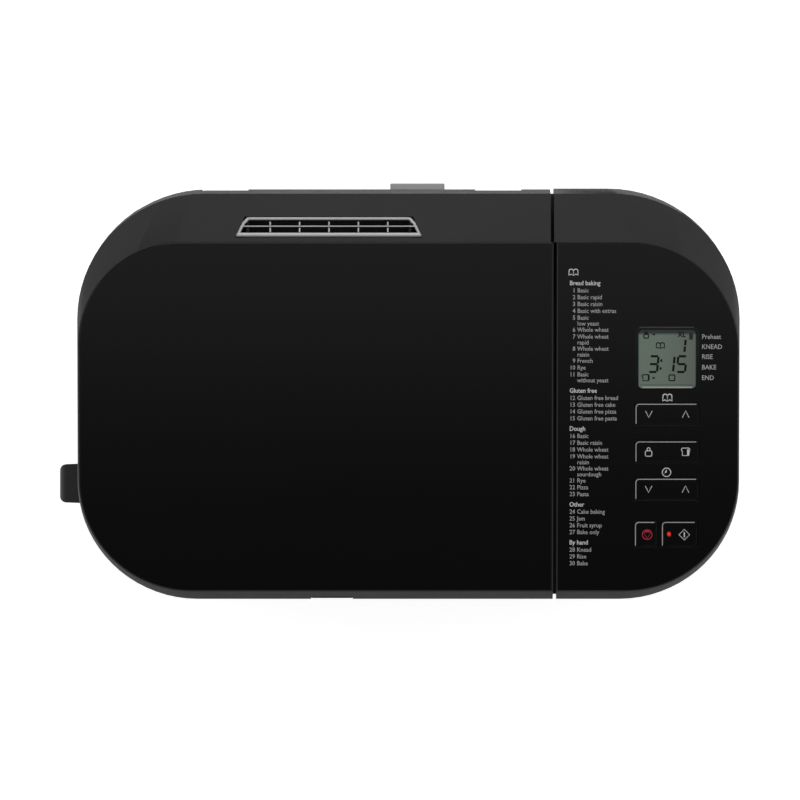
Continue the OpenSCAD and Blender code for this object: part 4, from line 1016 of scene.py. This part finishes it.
steps = panSteps(low.z, pan["foot"])
for beadHigh in pan["beads"]:
    steps += panSteps(low.z + beadHigh * mm, pan["bead"])
steps += panSteps(rimZ, pan["rim"])
panFloor = (low.z, panW - pan["floorIn"] * mm, panD - pan["floorIn"] * mm)
breadPan = pulled("breadPan", (driveX, driveY), panFloor, pan["corner"], steps, 10, False)
modify(breadPan, "SOLIDIFY", thickness=pan["wall"], offset=-1)
bored(breadPan, rod("hole", (driveX, driveY, low.z), pan["driveHole"], pan["through"]))
lugs = []
for side in (-1, 1):
    x = driveX + side * (panW / 2 + pan["lugOut"])
    pivot = (x, driveY, rimZ + pan["lugRise"])
    lug = rod("lug", pivot, pan["lug"], pan["lugThick"], "X")
    fused(lug, block("stem", (x - pan["lugThick"] / 2, driveY - pan["lug"], rimZ - pan["lugFall"]),
                     (x + pan["lugThick"] / 2, driveY + pan["lug"], rimZ + pan["lugRise"])))
    bored(lug, rod("hole", pivot, pan["pivot"], pan["through"], "X"))
    modify(lug, "BEVEL", width=pan["lugEdge"], segments=2, limit_method="ANGLE", angle_limit=math.radians(50))
    lugs.append(lug)
standIn(joined([breadPan] + lugs, "breadPan"), "bread_pan")
print("bread pan")

# kneading blade: a hub with a rounded top, and a straight paddle with a rounded end and sunk faces
blade = {"hub": 8 * mm, "hubHigh": 21 * mm, "hubRound": 2.2 * mm, "bore": 4.02 * mm, "through": 80 * mm,
         "thick": 3 * mm, "from": 2 * mm, "tall": 20 * mm, "endRound": 9 * mm, "endFrom": 10 * mm,
         "border": 1.6 * mm, "sunk": 0.5 * mm, "edge": 0.5 * mm}
low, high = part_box("kneading_blade")
hub = rod("hub", (driveX, driveY, low.z + blade["hubHigh"] / 2), blade["hub"], blade["hubHigh"])
pick(hub, "FACE", lambda c, n: n.z > 0.9)
bpy.ops.mesh.bevel(offset=blade["hubRound"], segments=4, affect="EDGES")
bpy.ops.object.mode_set(mode="OBJECT")
paddle = block("paddle", (driveX + blade["from"], driveY - blade["thick"] / 2, low.z),
               (high.x, driveY + blade["thick"] / 2, low.z + blade["tall"]))
pick(paddle, "EDGE", lambda a, b: min(a.x, b.x) > high.x - mm and min(a.z, b.z) > low.z + blade["endFrom"])
bpy.ops.mesh.bevel(offset=blade["endRound"], segments=8, affect="EDGES")
pick(paddle, "FACE", lambda c, n: abs(n.y) > 0.9)
bpy.ops.mesh.inset(thickness=blade["border"], depth=-blade["sunk"], use_individual=True)
bpy.ops.object.mode_set(mode="OBJECT")
fused(hub, paddle)
bored(hub, rod("hole", (driveX, driveY, low.z), blade["bore"], blade["through"]))
modify(hub, "BEVEL", width=blade["edge"], segments=2, limit_method="ANGLE", angle_limit=math.radians(40))
standIn(joined([hub], "kneadingBlade"), "kneading_blade")
print("kneading blade")

# rubber feet: a puck with a plug above and a recess and a ring underneath, one modelled and copied
foot = {"radius": 10 * mm, "high": 5 * mm, "edge": 0.4 * mm, "plug": 3 * mm, "plugHigh": 10 * mm,
        # insets from the rim of the underside: width and depth
        "under": [(1.8 * mm, 0), (1.0 * mm, -0.8 * mm), (2.6 * mm, 0), (0.6 * mm, -1.2 * mm)]}
low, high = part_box("rubber_feet")
spots = [(x, y) for x in (low.x + foot["radius"], high.x - foot["radius"])
         for y in (low.y + foot["radius"], high.y - foot["radius"])]
firstFoot = rod("foot", (spots[0][0], spots[0][1], foot["high"] / 2), foot["radius"], foot["high"])
pick(firstFoot, "FACE", lambda c, n: n.z < -0.9)
for inset, depth in foot["under"]:
    bpy.ops.mesh.inset(thickness=inset, depth=depth)
pick(firstFoot, "FACE", lambda c, n: n.z > 0.9)
bpy.ops.mesh.inset(thickness=foot["radius"] - foot["plug"])
bpy.ops.mesh.extrude_region_move(TRANSFORM_OT_translate={"value": (0, 0, foot["plugHigh"] - foot["high"])})
bpy.ops.object.mode_set(mode="OBJECT")
modify(firstFoot, "BEVEL", width=foot["edge"], segments=2, limit_method="ANGLE", angle_limit=math.radians(60))
feet = [firstFoot]
for x, y in spots[1:]:
    copy = firstFoot.copy()
    copy.data = firstFoot.data.copy()
    bpy.context.collection.objects.link(copy)
    copy.location = (x - spots[0][0], y - spots[0][1], 0)
    feet.append(copy)
standIn(joined(feet, "rubberFeet"), "rubber_feet")
print("feet")

bpy.ops.object.select_all(action="DESELECT")
bpy.ops.mesh.primitive_plane_add(size=studio["floor"])
floor = bpy.context.object
floor.name = "floor"
floor.data.materials.append(floorPaper())
floor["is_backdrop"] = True

low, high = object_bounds()
